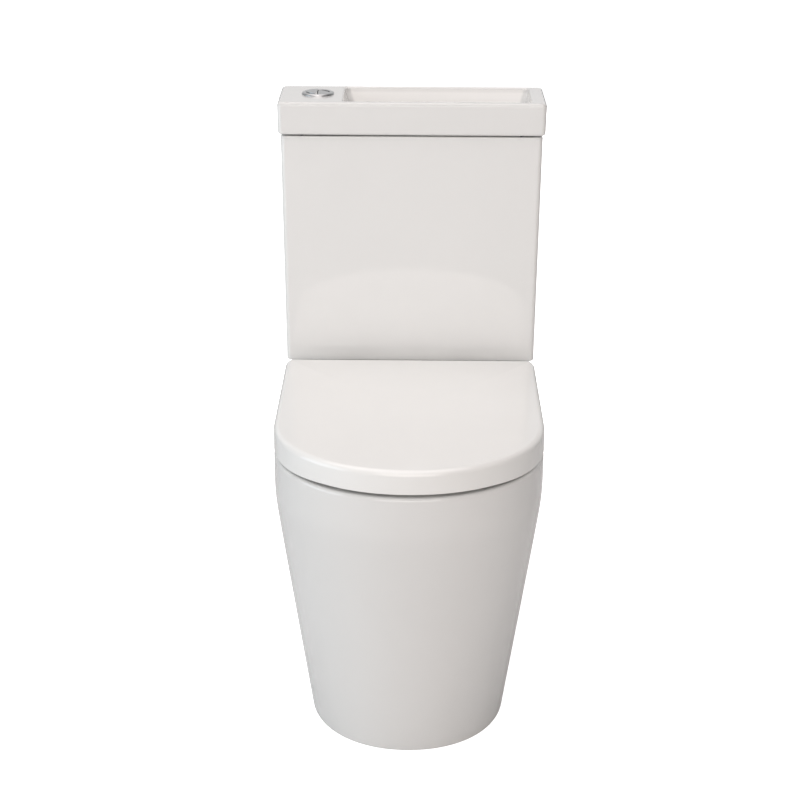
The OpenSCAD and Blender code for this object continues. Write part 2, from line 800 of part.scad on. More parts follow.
module hinge_posts() {
    depth = 16;
    head = knuckle_r - 1;
    color(steel) at_both(hinge_pitch / 2) translate([0, hinge_y, rim_z]) difference() {
        union() {
            cylinder(r = post_foot_r, h = post_foot_t);
            translate([-post_w / 2, 0, hinge_up]) rotate([0, 90, 0]) cylinder(r = head, h = post_w);
            translate([-post_w / 2, -depth / 2, 0]) cube([post_w, depth, hinge_up]);
        }
        translate([-post_w / 2 - cut, 0, hinge_up]) rotate([0, 90, 0])
            cylinder(r = pin_r + fit_gap, h = post_w + 2 * cut);
    }
}

module hinge_pins() {
    color(steel) for (side = [0, 1]) mirror([side, 0, 0])
        translate([ring_knuckle_x + 1, hinge_y, hinge_z]) rotate([0, 90, 0])
            cylinder(r = pin_r, h = lid_knuckle_x + knuckle_len - ring_knuckle_x - 2);
}

stud_len = 44;
module hinge_bolts() {
    color(steel) at_both(hinge_pitch / 2)
        translate([0, hinge_y, rim_z - stud_len]) cylinder(r = bolt_r, h = stud_len);
}

module hinge_washers() {
    color(rubber) at_both(hinge_pitch / 2)
        translate([0, hinge_y, under_z - washer_t]) tube(bolt_r + 9, bolt_r + nut_clear, washer_t);
}

module hinge_wing_nuts() {
    color(plastic) at_both(hinge_pitch / 2)
        translate([0, hinge_y, under_z - washer_t]) rotate([0, 0, 90]) wing_nut(bolt_r + fit_gap);
}

// Sleeve between a pin and its knuckle; a damper has a closed outer end with two flats
module bush(x0) {
    translate([x0, hinge_y, hinge_z]) rotate([0, 90, 0])
        tube(bush_r, pin_r + pin_gap, knuckle_len);
}

module damper(x0) {
    collar_r = bush_r + 1.2;
    bush(x0);
    translate([x0 + knuckle_len, hinge_y, hinge_z]) rotate([0, 90, 0])
        difference() {
            tube(collar_r, pin_r + pin_gap, 1.2);
            for (y = [-collar_r - 8, collar_r - 2])
                translate([-10, y + 1, -cut]) cube([20, 9, 4]);
        }
}

module lid_damper() {
    color(plastic) mirror([1, 0, 0]) damper(lid_knuckle_x);
}

module lid_bush() {
    color(plastic) bush(lid_knuckle_x);
}

module ring_damper() {
    color(plastic) mirror([1, 0, 0]) translate([2 * ring_knuckle_x + knuckle_len, 0, 0])
        mirror([1, 0, 0]) damper(ring_knuckle_x);
}

module ring_bush() {
    color(plastic) bush(ring_knuckle_x);
}

// ---- Cistern ----

function cistern_half(z) =
    lerp(cistern_bot_w, cistern_top_w, (z - cistern_z) / cistern_h) / 2;
function cistern_ring(z, inset) =
    rect_ring(0, cistern_y, cistern_half(z) - inset, cistern_d / 2 - inset,
              cistern_r - min(inset, cistern_r - 5), z);
cistern_low_r = 6;
cistern_lip_r = 2;

module wall_holes() {
    at_both(wall_pitch / 2)
        translate([0, cistern_y + cistern_d / 2 + cut, cistern_top - wall_hole_down])
            rotate([90, 0, 0]) cylinder(r = wall_hole_r, h = cistern_t + 2 * cut);
}

module cistern_body() {
    color(glaze) difference() {
        loft(concat(
            [for (a = [0:30:90])
                cistern_ring(cistern_z + cistern_low_r * (1 - cos(a)), cistern_low_r * (1 - sin(a)))],
            [cistern_ring(cistern_top - cistern_lip_r, 0), cistern_ring(cistern_top - 0.6, 0.6),
             cistern_ring(cistern_top, cistern_lip_r), cistern_ring(cistern_top, cistern_t - 0.6),
             cistern_ring(cistern_top - 0.6, cistern_t), cistern_ring(tank_floor + 8, cistern_t),
             cistern_ring(tank_floor + 2, cistern_t + 2), cistern_ring(tank_floor, cistern_t + 8)]
        ));
        translate([0, service_y, cistern_z - cut]) cylinder(r = tail_r + 1.5, h = cistern_floor + 2 * cut);
        at_both(inlet_x) translate([0, service_y, cistern_z - cut])
            cylinder(r = inlet_r + 1, h = cistern_floor + 2 * cut);
        at_both(bolt_pitch / 2) translate([0, service_y, cistern_z - cut])
            cylinder(r = bolt_r + 1.5, h = cistern_floor + 2 * cut);
        wall_holes();
    }
}

module coupling_gasket() {
    color(rubber) translate([0, service_y, platform_z - spud_d])
        tube(spud_r - 2, tail_r + 0.4, cistern_gap + spud_d - nut_t);
}

bolt_head_r = bolt_r + 5;
bolt_head_t = 4;
bolt_tail = 24;
coupling_washer_r = bolt_r + 6;

module coupling_bolts() {
    seat = tank_floor + washer_t;
    color(steel) at_both(bolt_pitch / 2) translate([0, service_y, 0]) {
        translate([0, 0, seat]) cylinder(r = bolt_head_r, h = bolt_head_t);
        translate([0, 0, pocket_top - bolt_tail])
            cylinder(r = bolt_r, h = seat - pocket_top + bolt_tail + 1);
    }
}

module coupling_washers() {
    color(rubber) at_both(bolt_pitch / 2) translate([0, service_y, 0]) {
        translate([0, 0, tank_floor]) tube(coupling_washer_r, bolt_r + nut_clear, washer_t);
        translate([0, 0, platform_z]) tube(coupling_washer_r, bolt_r + nut_clear, cistern_gap);
        translate([0, 0, pocket_top - washer_t])
            tube(coupling_washer_r, bolt_r + nut_clear, washer_t);
    }
}

module coupling_wing_nuts() {
    color(plastic) at_both(bolt_pitch / 2)
        translate([0, service_y, pocket_top - washer_t]) rotate([0, 0, 90]) wing_nut(bolt_r + fit_gap);
}

// ---- Flush valve ----

flange_z = tank_floor + washer_t;
seat_z = flange_z + 12;
cage_z = tank_floor + cage_h;
cage_r = 38;
cage_leg = [7, 4];
guide_r = overflow_r + 0.8;
bell_r = 30;
seal_t = 3;
bracket_half = 3;
pin_half = rod_off + lever_t / 2 + 2;

module flush_valve_body() {
    color(plastic) translate([0, service_y, 0]) difference() {
        union() {
            translate([0, 0, cistern_z - 32]) cylinder(r = tail_r, h = flange_z - cistern_z + 33);
            translate([0, 0, flange_z]) cylinder(r = flange_r, h = 5);
            translate([0, 0, flange_z]) cylinder(r = cage_r, h = seat_z - flange_z - 2);
            translate([0, 0, flange_z]) cylinder(r = tail_bore + 4, h = seat_z - flange_z);
            for (turn = [45:90:315]) rotate([0, 0, turn])
                translate([cage_r - cage_leg.y, -cage_leg.x / 2, flange_z])
                    cube([cage_leg.y, cage_leg.x, cage_z - flange_z]);
            translate([0, 0, cage_z - 10]) cylinder(r = cage_r, h = 10);
            // arm that carries the levers' pivot
            translate([0, bracket_half, 0]) rotate([90, 0, 0]) linear_extrude(2 * bracket_half)
                polygon([[-22, cage_z - 8], [-22, cage_z], [-pivot_x + 8, pivot_z + 7],
                         [-pivot_x - 4, pivot_z + 7], [-pivot_x - 8, pivot_z + 3],
                         [-pivot_x - 8, pivot_z - 4], [-cage_r, cage_z - 10], [-30, cage_z - 10]]);
        }
        translate([0, 0, cistern_z - 32 - cut]) cylinder(r = tail_bore, h = seat_z);
        translate([0, 0, cage_z - 10 - cut]) cylinder(r = guide_r, h = 40);
        translate([-pivot_x, bracket_half + cut, pivot_z]) rotate([90, 0, 0])
            cylinder(r = pivot_r + fit_gap, h = 2 * bracket_half + 2 * cut);
    }
}

module flush_valve_washer() {
    color(rubber) translate([0, service_y, tank_floor]) tube(flange_r - 1, tail_r + 0.4, washer_t);
}

module flush_valve_backnut() {
    color(plastic) translate([0, service_y, cistern_z - nut_t]) hex_nut(spud_r - 4, tail_r + fit_gap, nut_t);
}

module flush_canister() {
    bell_z = seat_z + touch + seal_t;
    bell_h = 34;
    color(plastic) translate([0, service_y, 0]) difference() {
        union() {
            translate([0, 0, bell_z]) cylinder(r = bell_r + 3, h = 5);
            translate([0, 0, bell_z]) cylinder(r = bell_r - 6, h = bell_h);
            translate([0, 0, bell_z + bell_h]) cylinder(r1 = bell_r - 6, r2 = overflow_r, h = 10);
            translate([0, 0, seat_z + touch])
                cylinder(r = overflow_r, h = tank_floor + overflow_h - seat_z - touch);
            // lug that the full-flush lever lifts
            translate([-lever_tip - 5.5, rod_off - 4, lever_top + play])
                cube([lever_tip - 6, 8, 6]);
        }
        translate([0, 0, seat_z - cut]) cylinder(r = overflow_r - 2.5, h = overflow_h);
    }
}

module canister_seal() {
    color(rubber) translate([0, service_y, seat_z + touch]) tube(bell_r + 3, overflow_r + 0.1, seal_t);
}

module half_flush_sleeve() {
    hook_x = -lever_tip - 5.5;
    side_y = -rod_off - lever_t / 2 - 8;
    color(plastic) translate([0, service_y, cage_z + touch]) difference() {
        union() {
            cylinder(r = 22, h = 16);
            // upright with a hook over the half-flush lever
            translate([hook_x, side_y, 0]) cube([18, 10, 6]);
            translate([hook_x, side_y, 0]) cube([12, 6, lever_top + play + 5 - cage_z - touch]);
            translate([hook_x, side_y, lever_top + play - cage_z - touch])
                cube([11, lever_t + 10, 5]);
        }
        translate([0, 0, -cut]) cylinder(r = guide_r, h = 200);
    }
}

// Lever in the XZ plane, from its rod end to its lifting tip, around the pivot
module lever(arm) {
    translate([-pivot_x, lever_t / 2, pivot_z]) rotate([90, 0, 0]) difference() {
        union() {
            cylinder(r = pivot_r + 3.5, h = lever_t);
            linear_extrude(lever_t)
                polygon([[arm - 3, 0], [arm - 3, lever_half - 1], [arm - 2, lever_half],
                         [pivot_x - lever_tip - 1, lever_half], [pivot_x - lever_tip, lever_half - 1],
                         [pivot_x - lever_tip, 0], [pivot_x - lever_tip - 3, -lever_half],
                         [arm + 2, -lever_half]]);
        }
        translate([0, 0, -cut]) cylinder(r = pivot_r + pin_gap, h = lever_t + 2 * cut);
    }
}

module half_flush_lever() {
    color("lightblue") translate([0, half_y, 0]) lever(half_arm);
}

module full_flush_lever() {
    color("lightblue") translate([0, full_y, 0]) lever(full_arm);
}

module lever_pivot_pin() {
    color(steel) translate([-pivot_x, service_y + pin_half, pivot_z]) rotate([90, 0, 0])
        cylinder(r = pivot_r, h = 2 * pin_half);
}

// ---- Inlet valve ----

float_rest = 57;
float_gap = 0.4;
shank_step = 0.4;
inlet_washer_r = 17;

module inlet_valve() {
    head_h = 46;
    color(plastic) translate([inlet_x, service_y, 0]) {
        translate([0, 0, cistern_z - nut_t - inlet_len]) cylinder(r = inlet_r, h = inlet_len);
        translate([0, 0, cistern_z - nut_t])
            cylinder(r = inlet_r + shank_step, h = nut_t + cistern_floor + washer_t);
        translate([0, 0, tank_floor + washer_t]) cylinder(r = inlet_washer_r, h = 4);
        translate([0, 0, tank_floor + washer_t]) cylinder(r = riser_r, h = inlet_h - washer_t - 10);
        translate([0, 0, tank_floor + float_rest - touch - 8]) cylinder(r = riser_r + 3, h = 8);
        // valve head with its cap
        translate([0, 0, tank_floor + inlet_h - head_h]) cylinder(r = 20, h = head_h - 8);
        translate([0, 0, tank_floor + inlet_h - 16]) cylinder(r1 = 23, r2 = 21, h = 16);
        translate([0, -26, tank_floor + inlet_h - head_h + 6]) cylinder(r = 6, h = 20);
        translate([-5, -26, tank_floor + inlet_h - head_h + 8]) cube([10, 20, 10]);
    }
}

module inlet_washer() {
    color(rubber) translate([inlet_x, service_y, tank_floor])
        tube(inlet_washer_r, inlet_r + shank_step + 0.1, washer_t);
}

module inlet_backnut() {
    color(plastic) translate([inlet_x, service_y, cistern_z - nut_t])
        hex_nut(inlet_washer_r + 1, inlet_r + shank_step + fit_gap, nut_t);
}

module inlet_float() {
    color("lightgray") translate([inlet_x, service_y, tank_floor + float_rest]) difference() {
        cylinder(r = float_r, h = float_h);
        translate([0, 0, -cut]) cylinder(r = riser_r + float_gap, h = float_h + 2 * cut);
        translate([0, 0, 4]) tube(float_r - 2.5, riser_r + 3.4, float_h);
    }
}

module blanking_plug() {
    color(plastic) translate([-inlet_x, service_y, 0]) {
        translate([0, 0, cistern_z - nut_t - 4]) cylinder(r = inlet_r, h = cistern_floor + nut_t + 5);
        translate([0, 0, tank_floor]) cylinder(r = inlet_washer_r, h = 5);
    }
}

module blanking_plug_nut() {
    color(plastic) translate([-inlet_x, service_y, cistern_z - nut_t])
        hex_nut(inlet_washer_r + 1, inlet_r + fit_gap, nut_t);
}

// ---- Basin cover ----

recess_x0 = -recess_left;
recess_x1 = basin_w / 2 - recess_rim_x;
recess_y0 = wall_y - basin_d + recess_rim_front;
recess_y1 = wall_y - recess_rim_back;
recess_cx = (recess_x0 + recess_x1) / 2;
recess_cy = (recess_y0 + recess_y1) / 2;
recess_r = 14;
function recess_ring(z, grow) =
    let (lean = recess_lean * (basin_top - z) - grow)
    rect_ring(recess_cx, recess_cy, (recess_x1 - recess_x0) / 2 - lean,
              (recess_y1 - recess_y0) / 2 - lean, recess_r, z);
function cover_ring(z, inset) =
    let (narrow = basin_flare * (basin_top - z) / basin_h)
    rect_ring(0, basin_y, basin_w / 2 - narrow - inset, basin_d / 2 - inset,
              basin_r - min(inset, basin_r - 6), z);
tub_top = basin_z + 9;
tub_bottom = recess_z - basin_t - 3;
pocket_left = basin_w / 2 - 10;
pocket_right = recess_left + 13;

module basin_cover() {
    fillet = 3.5;
    low_r = 4;
    color(glaze) difference() {
        union() {
            loft(concat(
                [cover_ring(basin_z, low_r), cover_ring(basin_z + 1.2, 1.2), cover_ring(basin_z + low_r, 0)],
                [for (a = [0:30:90])
                    cover_ring(basin_top - basin_edge_r * (1 - sin(a)), basin_edge_r * (1 - cos(a)))]
            ));
            // tub that hangs into the cistern
            loft([recess_ring(tub_bottom, basin_t - 10), recess_ring(tub_bottom + 3, basin_t - 3),
                  recess_ring(tub_bottom + 10, basin_t), recess_ring(tub_top, basin_t)]);
        }
        // recess with rounded edges
        loft(concat(
            [recess_ring(recess_z, -10), recess_ring(recess_z + 3, -3.5), recess_ring(recess_z + 10, 0)],
            [recess_ring(basin_top - fillet, 0), recess_ring(basin_top - 1, 1),
             recess_ring(basin_top, fillet), recess_ring(basin_top + 1, fillet + 0.5)]
        ));
        // hollow under the button deck
        translate([-pocket_left, basin_y - basin_d / 2 + 10, basin_z - cut])
            cube([pocket_left - pocket_right, basin_d - 20, basin_h - button_deck_t + cut]);
        translate([-button_x, service_y, basin_z]) cylinder(r = sleeve_r + 1.5, h = basin_h + cut);
        translate([waste_x, service_y, tub_bottom - cut])
            cylinder(r = waste_tail_r + 1.5, h = recess_depth);
    }
}

module cover_pads() {
    inset = cistern_t / 2;
    color(rubber) for (sx = [-1, 1]) for (sy = [-1, 1])
        translate([sx * (cistern_half(cistern_top) - 30), cistern_y + sy * (cistern_d / 2 - inset),
                   cistern_top])
            cylinder(r = 2.4, h = pad_t - touch);
}

module basin_waste() {
    slot_w = 4;
    color(steel) translate([waste_x, service_y, 0]) difference() {
        union() {
            translate([0, 0, recess_z]) cylinder(r1 = waste_r, r2 = waste_r - 1.5, h = 2.2);
            translate([0, 0, tub_bottom - waste_tail])
                cylinder(r = waste_tail_r, h = recess_z - tub_bottom + waste_tail + 1);
        }
        translate([0, 0, tub_bottom - waste_tail - cut])
            cylinder(r = waste_tail_r - 3, h = recess_z - tub_bottom + waste_tail - 1);
        // ring of holes and one in the middle
        translate([0, 0, recess_z - 6]) cylinder(r = slot_w, h = 12);
        for (turn = [0:60:300]) rotate([0, 0, turn])
            translate([waste_tail_r - 7, 0, recess_z - 6]) cylinder(r = slot_w - 1, h = 12);
    }
}

module basin_waste_gasket() {
    color(rubber) translate([waste_x, service_y, tub_bottom - washer_t])
        tube(waste_r + 2, waste_tail_r + 0.2, washer_t);
}

module basin_waste_nut() {
    color(plastic) translate([waste_x, service_y, tub_bottom - washer_t - nut_t])
        hex_nut(waste_r + 3, waste_tail_r + fit_gap, nut_t);
}

// ---- Button ----

guide_t = 3;
guide_z = basin_top - sleeve_len;
cap_h = 10;
bezel_bore = button_r + 0.35;

module button_bezel() {
    round_r = bezel_h - 0.4;
    color(steel) translate([-button_x, service_y, 0]) difference() {
        union() {
            translate([0, 0, basin_top]) rotate_extrude()
                polygon(concat([[0, 0], [bezel_r, 0], [bezel_r, 0.4]],
                    [for (a = [15:15:90]) [bezel_r - round_r * (1 - cos(a)), 0.4 + round_r * sin(a)]],
                    [[0, bezel_h]]));
            translate([0, 0, guide_z]) cylinder(r = sleeve_r, h = sleeve_len + 1);
        }
        translate([0, 0, guide_z + guide_t]) cylinder(r = bezel_bore, h = sleeve_len + bezel_h);
        translate([-rod_off, -rod_off, guide_z - cut]) cylinder(r = rod_r + 0.2, h = guide_t + 2 * cut);
        translate([rod_off, rod_off, guide_z - cut]) cylinder(r = rod_r + 0.2, h = guide_t + 2 * cut);
    }
}

module button_locknut() {
    color(plastic) translate([-button_x, service_y, basin_top - button_deck_t - 8])
        hex_nut(25, sleeve_r + fit_gap, 8);
}

// Half of a round push button on its rod; side is -1 on the left and 1 on the right
module half_button(side, up) {
    top = basin_top + bezel_h + up;
    foot = lever_top + play;
    color(steel) translate([-button_x, service_y, 0]) {
        intersection() {
            translate([0, 0, top - cap_h]) cylinder(r = button_r, h = cap_h);
            translate([0, 0, top - 90]) sphere(r = 90);
            translate([side > 0 ? button_gap / 2 : -button_r - 1, -button_r - 1, top - cap_h - 1])
                cube([button_r + 1 - button_gap / 2, 2 * button_r + 2, cap_h + 2]);
        }
        translate([side * rod_off, side * rod_off, foot + rod_r])
            cylinder(r = rod_r, h = top - cap_h + 1 - foot - rod_r);
        translate([side * rod_off, side * rod_off, foot + rod_r]) sphere(r = rod_r);
    }
}

module half_flush_button() {
    half_button(-1, button_up + button_step);
}

module full_flush_button() {
    half_button(1, button_up);
}

// Compression spring around a rod, between the sleeve's guide and the button
module button_spring(side, up) {
    low = guide_z + guide_t + spring_wire + 0.05;
    high = basin_top + bezel_h + up - cap_h - spring_wire - 0.05;
    count = 8 * spring_turns;
    color(steel) translate([-button_x + side * rod_off, service_y + side * rod_off, 0])
        loft([for (k = [0:count])
            let (turn = 45 * k, z = lerp(low, high, k / count))
            [for (s = [0:5])
                let (a = 60 * s, r = spring_r + spring_wire * sin(a))
                [r * cos(turn), r * sin(turn), z + spring_wire * cos(a)]]]);
}

module half_flush_spring() {
    button_spring(-1, button_up + button_step);
}

module full_flush_spring() {
    button_spring(1, button_up);
}

pan();
floor_brackets();
bracket_screws();
screw_caps();
seat_lid();
lid_buffers();
seat_ring();
ring_buffers();
hinge_posts();
hinge_pins();
hinge_bolts();
hinge_washers();
hinge_wing_nuts();
lid_damper();
lid_bush();
ring_damper();
ring_bush();
cistern_body();
coupling_gasket();
coupling_bolts();
coupling_washers();
coupling_wing_nuts();
flush_valve_body();
flush_valve_washer();
flush_valve_backnut();
flush_canister();
canister_seal();
half_flush_sleeve();
half_flush_lever();
full_flush_lever();
lever_pivot_pin();
inlet_valve();
inlet_washer();
inlet_backnut();
inlet_float();
blanking_plug();
blanking_plug_nut();
basin_cover();
cover_pads();
basin_waste();
basin_waste_gasket();
basin_waste_nut();
button_bezel();
button_locknut();
half_flush_button();
full_flush_button();
half_flush_spring();
full_flush_spring();
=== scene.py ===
import json
from math import cos, pi, radians, sin, sqrt

import bmesh
import bpy
import numpy as np
from bpy.props import FloatProperty, FloatVectorProperty, PointerProperty
from mathutils import Matrix, Vector

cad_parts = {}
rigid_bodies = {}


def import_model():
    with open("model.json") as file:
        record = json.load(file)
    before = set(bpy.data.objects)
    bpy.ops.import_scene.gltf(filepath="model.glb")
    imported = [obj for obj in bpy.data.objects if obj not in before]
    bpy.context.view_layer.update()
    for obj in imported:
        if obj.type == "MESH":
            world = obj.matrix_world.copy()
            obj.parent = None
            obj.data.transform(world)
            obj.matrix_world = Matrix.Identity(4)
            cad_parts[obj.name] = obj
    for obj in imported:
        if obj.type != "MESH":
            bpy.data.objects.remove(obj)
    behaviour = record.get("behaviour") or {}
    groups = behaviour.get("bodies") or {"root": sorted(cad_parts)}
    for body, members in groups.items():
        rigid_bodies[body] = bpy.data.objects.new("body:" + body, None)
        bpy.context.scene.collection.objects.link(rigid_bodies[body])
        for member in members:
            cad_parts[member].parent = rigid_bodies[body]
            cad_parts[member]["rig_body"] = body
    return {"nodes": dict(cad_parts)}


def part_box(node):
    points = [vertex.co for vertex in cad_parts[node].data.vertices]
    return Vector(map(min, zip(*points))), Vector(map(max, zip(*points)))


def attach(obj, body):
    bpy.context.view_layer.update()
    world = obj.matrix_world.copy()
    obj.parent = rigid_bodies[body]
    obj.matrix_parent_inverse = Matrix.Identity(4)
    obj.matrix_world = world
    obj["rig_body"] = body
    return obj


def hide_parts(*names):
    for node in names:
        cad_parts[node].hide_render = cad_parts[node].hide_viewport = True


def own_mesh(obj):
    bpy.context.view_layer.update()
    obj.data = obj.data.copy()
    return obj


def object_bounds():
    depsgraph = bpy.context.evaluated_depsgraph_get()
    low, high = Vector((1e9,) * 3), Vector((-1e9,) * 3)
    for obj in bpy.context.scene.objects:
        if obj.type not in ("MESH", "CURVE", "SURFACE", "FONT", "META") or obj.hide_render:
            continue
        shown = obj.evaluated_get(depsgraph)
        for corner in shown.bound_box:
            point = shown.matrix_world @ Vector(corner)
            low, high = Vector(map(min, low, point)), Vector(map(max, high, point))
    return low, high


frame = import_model()
cad_box = [list(corner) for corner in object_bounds()]

bl_info = {
    "name": "Toilet with basin on the cistern",
    "version": (1, 0, 0),
    "blender": (4, 5, 0),
    "location": "3D View > Sidebar > Toilet",
    "description": "Fine ceramic, seat, finishes and studio around the fixed frame of a toilet whose "
                   "cistern cover is a hand basin",
    "category": "Add Mesh",
}

# Everything is in metres: +Z up, front towards -Y, the origin on the floor.
FRONT_Y = cad_box[0][1]
WALL_Y = cad_box[1][1]

# Steps of the outlines and of the rounded edges
NOSE_STEPS = 132
SIDE_STEPS = 6
CORNER_STEPS = 10
BACK_STEPS = 12
ROUND_STEPS = 10
TUBE_STEPS = 48
PAST = 0.001  # how far a cutting tool runs past a face
GLAZED, BARE = 0, 1  # a ceramic piece's two finishes, by their place in its list


# ---- Settings that a user would change ----

def length(name, description, default):
    return FloatProperty(name=name, description=description, default=default, unit="LENGTH",
                         precision=4)


def colour(name, description, default):
    return FloatVectorProperty(name=name, description=description, default=default,
                               subtype="COLOR", size=3, min=0.0, max=1.0)


class PanSettings(bpy.types.PropertyGroup):
    width: length("Width", "Width of the pan at the rim", 0.360)
    base_width: length("Base width", "Width of the pan at the floor", 0.269)
    rim_z: length("Rim height", "Height of the ceramic rim", 0.404)
    knee_z: length("Knee height", "Height where the tapered skirt turns upright", 0.347)
    knee_soft: length("Knee softness", "Softness of that turn", 0.0028)
    setback: length("Setback", "How far the rim sits behind the front of the seat", 0.0006)
    foot_back: length("Foot setback", "How far the foot sits behind the rim at the front", 0.088)
    rim_nose: length("Rim nose", "Length of the curved nose at the rim", 0.187)
    foot_nose: length("Foot nose", "Length of the curved nose at the foot", 0.163)
    wall: length("Skirt wall", "Thickness of the skirt and of the deck", 0.012)
    edge: length("Rim edge", "Radius of the rim's outer edge", 0.0055)
    corner: length("Rear corners", "Radius of the two rear corners in plan", 0.010)
    bowl_half: length("Bowl half width", "Half width of the bowl's opening", 0.142)
    bowl_front: length("Bowl front", "Distance from the bowl's middle to its front", 0.173)
    bowl_back: length("Bowl back", "Distance from the bowl's middle to its back", 0.155)
    bowl_from_wall: length("Bowl from wall", "Distance of the bowl's middle from the wall", 0.385)
    bowl_edge: length("Bowl edge", "Radius of the edge into the bowl", 0.006)
    bowl_wall: length("Bowl wall", "Wall of the bowl, measured level", 0.012)
    sump_from_wall: length("Sump from wall", "Distance of the sump's middle from the wall", 0.340)
    sump_half: length("Sump half width", "Half width of the sump", 0.046)
    sump_z: length("Sump height", "Height of the sump's floor", 0.056)
    trap_radius: length("Trap radius", "Radius of the water way", 0.030)
    trap_wall: length("Trap wall", "Wall of the water way", 0.008)
    trap_bend: length("Trap bend", "Bend radius of the water way's middle line", 0.046)
    weir_z: length("Weir height", "Height of the water way's middle line at the weir", 0.198)
    outlet_z: length("Outlet height", "Height of the outlet's axis", 0.180)
    outlet_radius: length("Outlet radius", "Radius of the outlet spigot", 0.051)
    outlet_length: length("Outlet length", "Length of the outlet spigot", 0.046)
    outlet_back: length("Outlet from wall", "Distance of the outlet's end from the wall", 0.018)
    platform_height: length("Platform height", "Rise of the cistern's platform over the rim", 0.024)
    platform_width: length("Platform width", "Width of the platform", 0.344)
    platform_depth: length("Platform depth", "Depth of the platform", 0.132)


class SeatSettings(bpy.types.PropertyGroup):
    width: length("Width", "Width of the seat lid", 0.360)
    nose: length("Nose", "Length of the curved nose of the lid", 0.189)
    from_wall: length("From wall", "Distance from the wall to the back edge of the lid", 0.157)
    low_z: length("Lower edge", "Height of the lid's lower edge at the front", 0.409)
    droop: length("Droop", "How much lower that edge is along the sides", 0.003)
    top_z: length("Top", "Height of the lid's top", 0.442)
    wall: length("Wall", "Thickness of the lid", 0.0045)
    edge: length("Top edge", "Radius of the lid's top edge", 0.008)
    back_edge: length("Back edge", "Radius of the lid's top edge at the back", 0.0025)
    crown: length("Crown", "Rise of the lid's crown", 0.0015)
    side_gap: length("Side gap", "Gap between the ring and the lid's side", 0.004)
    ring_z: length("Ring underside", "Height of the ring's underside", 0.409)
    ring_height: length("Ring height", "Thickness of the ring", 0.022)
    ring_half: length("Ring half width", "Half width of the ring's opening", 0.108)
    ring_front: length("Ring front", "From the bowl's middle to the opening's front", 0.140)
    ring_back: length("Ring back", "From the bowl's middle to the opening's back", 0.112)
    ring_from_wall: length("Ring from wall", "Distance from the wall to the ring's back", 0.197)
    knuckle: length("Knuckle radius", "Outer radius of the hinge knuckles", 0.0095)
    knuckle_length: length("Knuckle length", "Length of each hinge knuckle", 0.020)


class CisternSettings(bpy.types.PropertyGroup):
    top_width: length("Top width", "Width of the cistern at its top", 0.371)
    low_width: length("Bottom width", "Width of the cistern at its bottom", 0.361)
    depth: length("Depth", "Depth of the cistern", 0.125)
    low_z: length("Bottom", "Height of the cistern's underside", 0.431)
    top_z: length("Top", "Height of the cistern's top edge", 0.7635)
    wall: length("Wall", "Wall of the cistern", 0.009)
    floor: length("Floor", "Thickness of the cistern's floor", 0.012)
    corner: length("Corners", "Radius of the upright edges in plan", 0.0065)
    low_edge: length("Lower edge", "Radius of the lower edge at the front and back", 0.0022)
    side_edge: length("Side edge", "How far the lower edge is drawn in at the sides", 0.004)


class BasinSettings(bpy.types.PropertyGroup):
    width: length("Width", "Width of the basin cover at its top", 0.380)
    flare: length("Flare", "How much narrower its lower edge is, each side", 0.0012)
    depth: length("Depth", "Depth of the basin cover", 0.132)
    low_z: length("Bottom", "Height of the cover's lower edge", 0.766)
    top_z: length("Top", "Height of the cover's top", 0.812)
    corner: length("Corners", "Radius of the upright edges in plan", 0.0065)
    edge: length("Top edge", "Radius of the cover's top edge", 0.005)
    recess_left: length("Recess left", "Left end of the recess from the middle", 0.098)
    recess_right: length("Right rim", "Rim to the right of the recess", 0.020)
    recess_front: length("Front rim", "Rim in front of the recess", 0.013)
    recess_back: length("Back rim", "Rim behind the recess", 0.008)
    recess_depth: length("Recess depth", "Depth of the recess", 0.070)
    recess_corner: length("Recess corners", "Radius of the recess in plan", 0.009)
    recess_edge: length("Recess edge", "Radius of the recess's top edge", 0.003)
    wall: length("Wall", "Thickness of the basin's bottom and walls", 0.009)
    lean: FloatProperty(name="Lean", description="How much each wall leans in, for its depth",
                        default=0.29, min=0.0, max=0.5)


class FinishSettings(bpy.types.PropertyGroup):
    glaze: colour("Glaze", "White of the glazed ceramic", (0.80, 0.80, 0.79))
    bisque: colour("Bisque", "Unglazed ceramic", (0.71, 0.68, 0.62))
    seat: colour("Seat", "White of the seat", (0.86, 0.86, 0.845))
    white: colour("White plastic", "Nuts, levers' arm and valve bodies", (0.72, 0.73, 0.73))
    grey: colour("Grey plastic", "Dampers and float", (0.33, 0.34, 0.35))
    blue: colour("Blue plastic", "Flush levers", (0.11, 0.30, 0.52))
    rubber: colour("Rubber", "Seals and washers", (0.028, 0.028, 0.030))
    buffer: colour("Buffers", "Soft buffers under the seat", (0.60, 0.60, 0.59))
    chrome: colour("Chrome", "Plated button, bezel, hinge posts and waste", (0.86, 0.87, 0.88))
    steel: colour("Steel", "Bolts, pins and springs", (0.58, 0.57, 0.55))


class StageSettings(bpy.types.PropertyGroup):
    camera_place: FloatVectorProperty(name="Camera place", description="Where the camera stands",
                                      default=(0.00836, -2.6371, 1.3527), subtype="XYZ")
    camera_down: FloatProperty(name="Tilt", description="How far the camera looks down",
                               default=0.3365, subtype="ANGLE")
    camera_left: FloatProperty(name="Turn", description="How far the camera is turned left",
                               default=0.0082, subtype="ANGLE")
    camera_roll: FloatProperty(name="Roll", description="How far the camera leans",
                               default=0.005, subtype="ANGLE")
    lens: FloatProperty(name="Lens", description="Focal length in millimetres", default=90.73)
    floor_glow: FloatProperty(name="Floor glow", description="How much whiter the floor looks than "
                              "its light makes it", default=1.0)
    floor_tone: FloatProperty(name="Floor tone", description="How much light the floor reflects",
                              default=0.80)
    surround: FloatProperty(name="Surround", description="Light from the studio's walls",
                            default=0.15)
    backdrop: FloatProperty(name="Backdrop", description="Paleness of the wall behind, where glossy "
                            "surfaces show it", default=0.6)


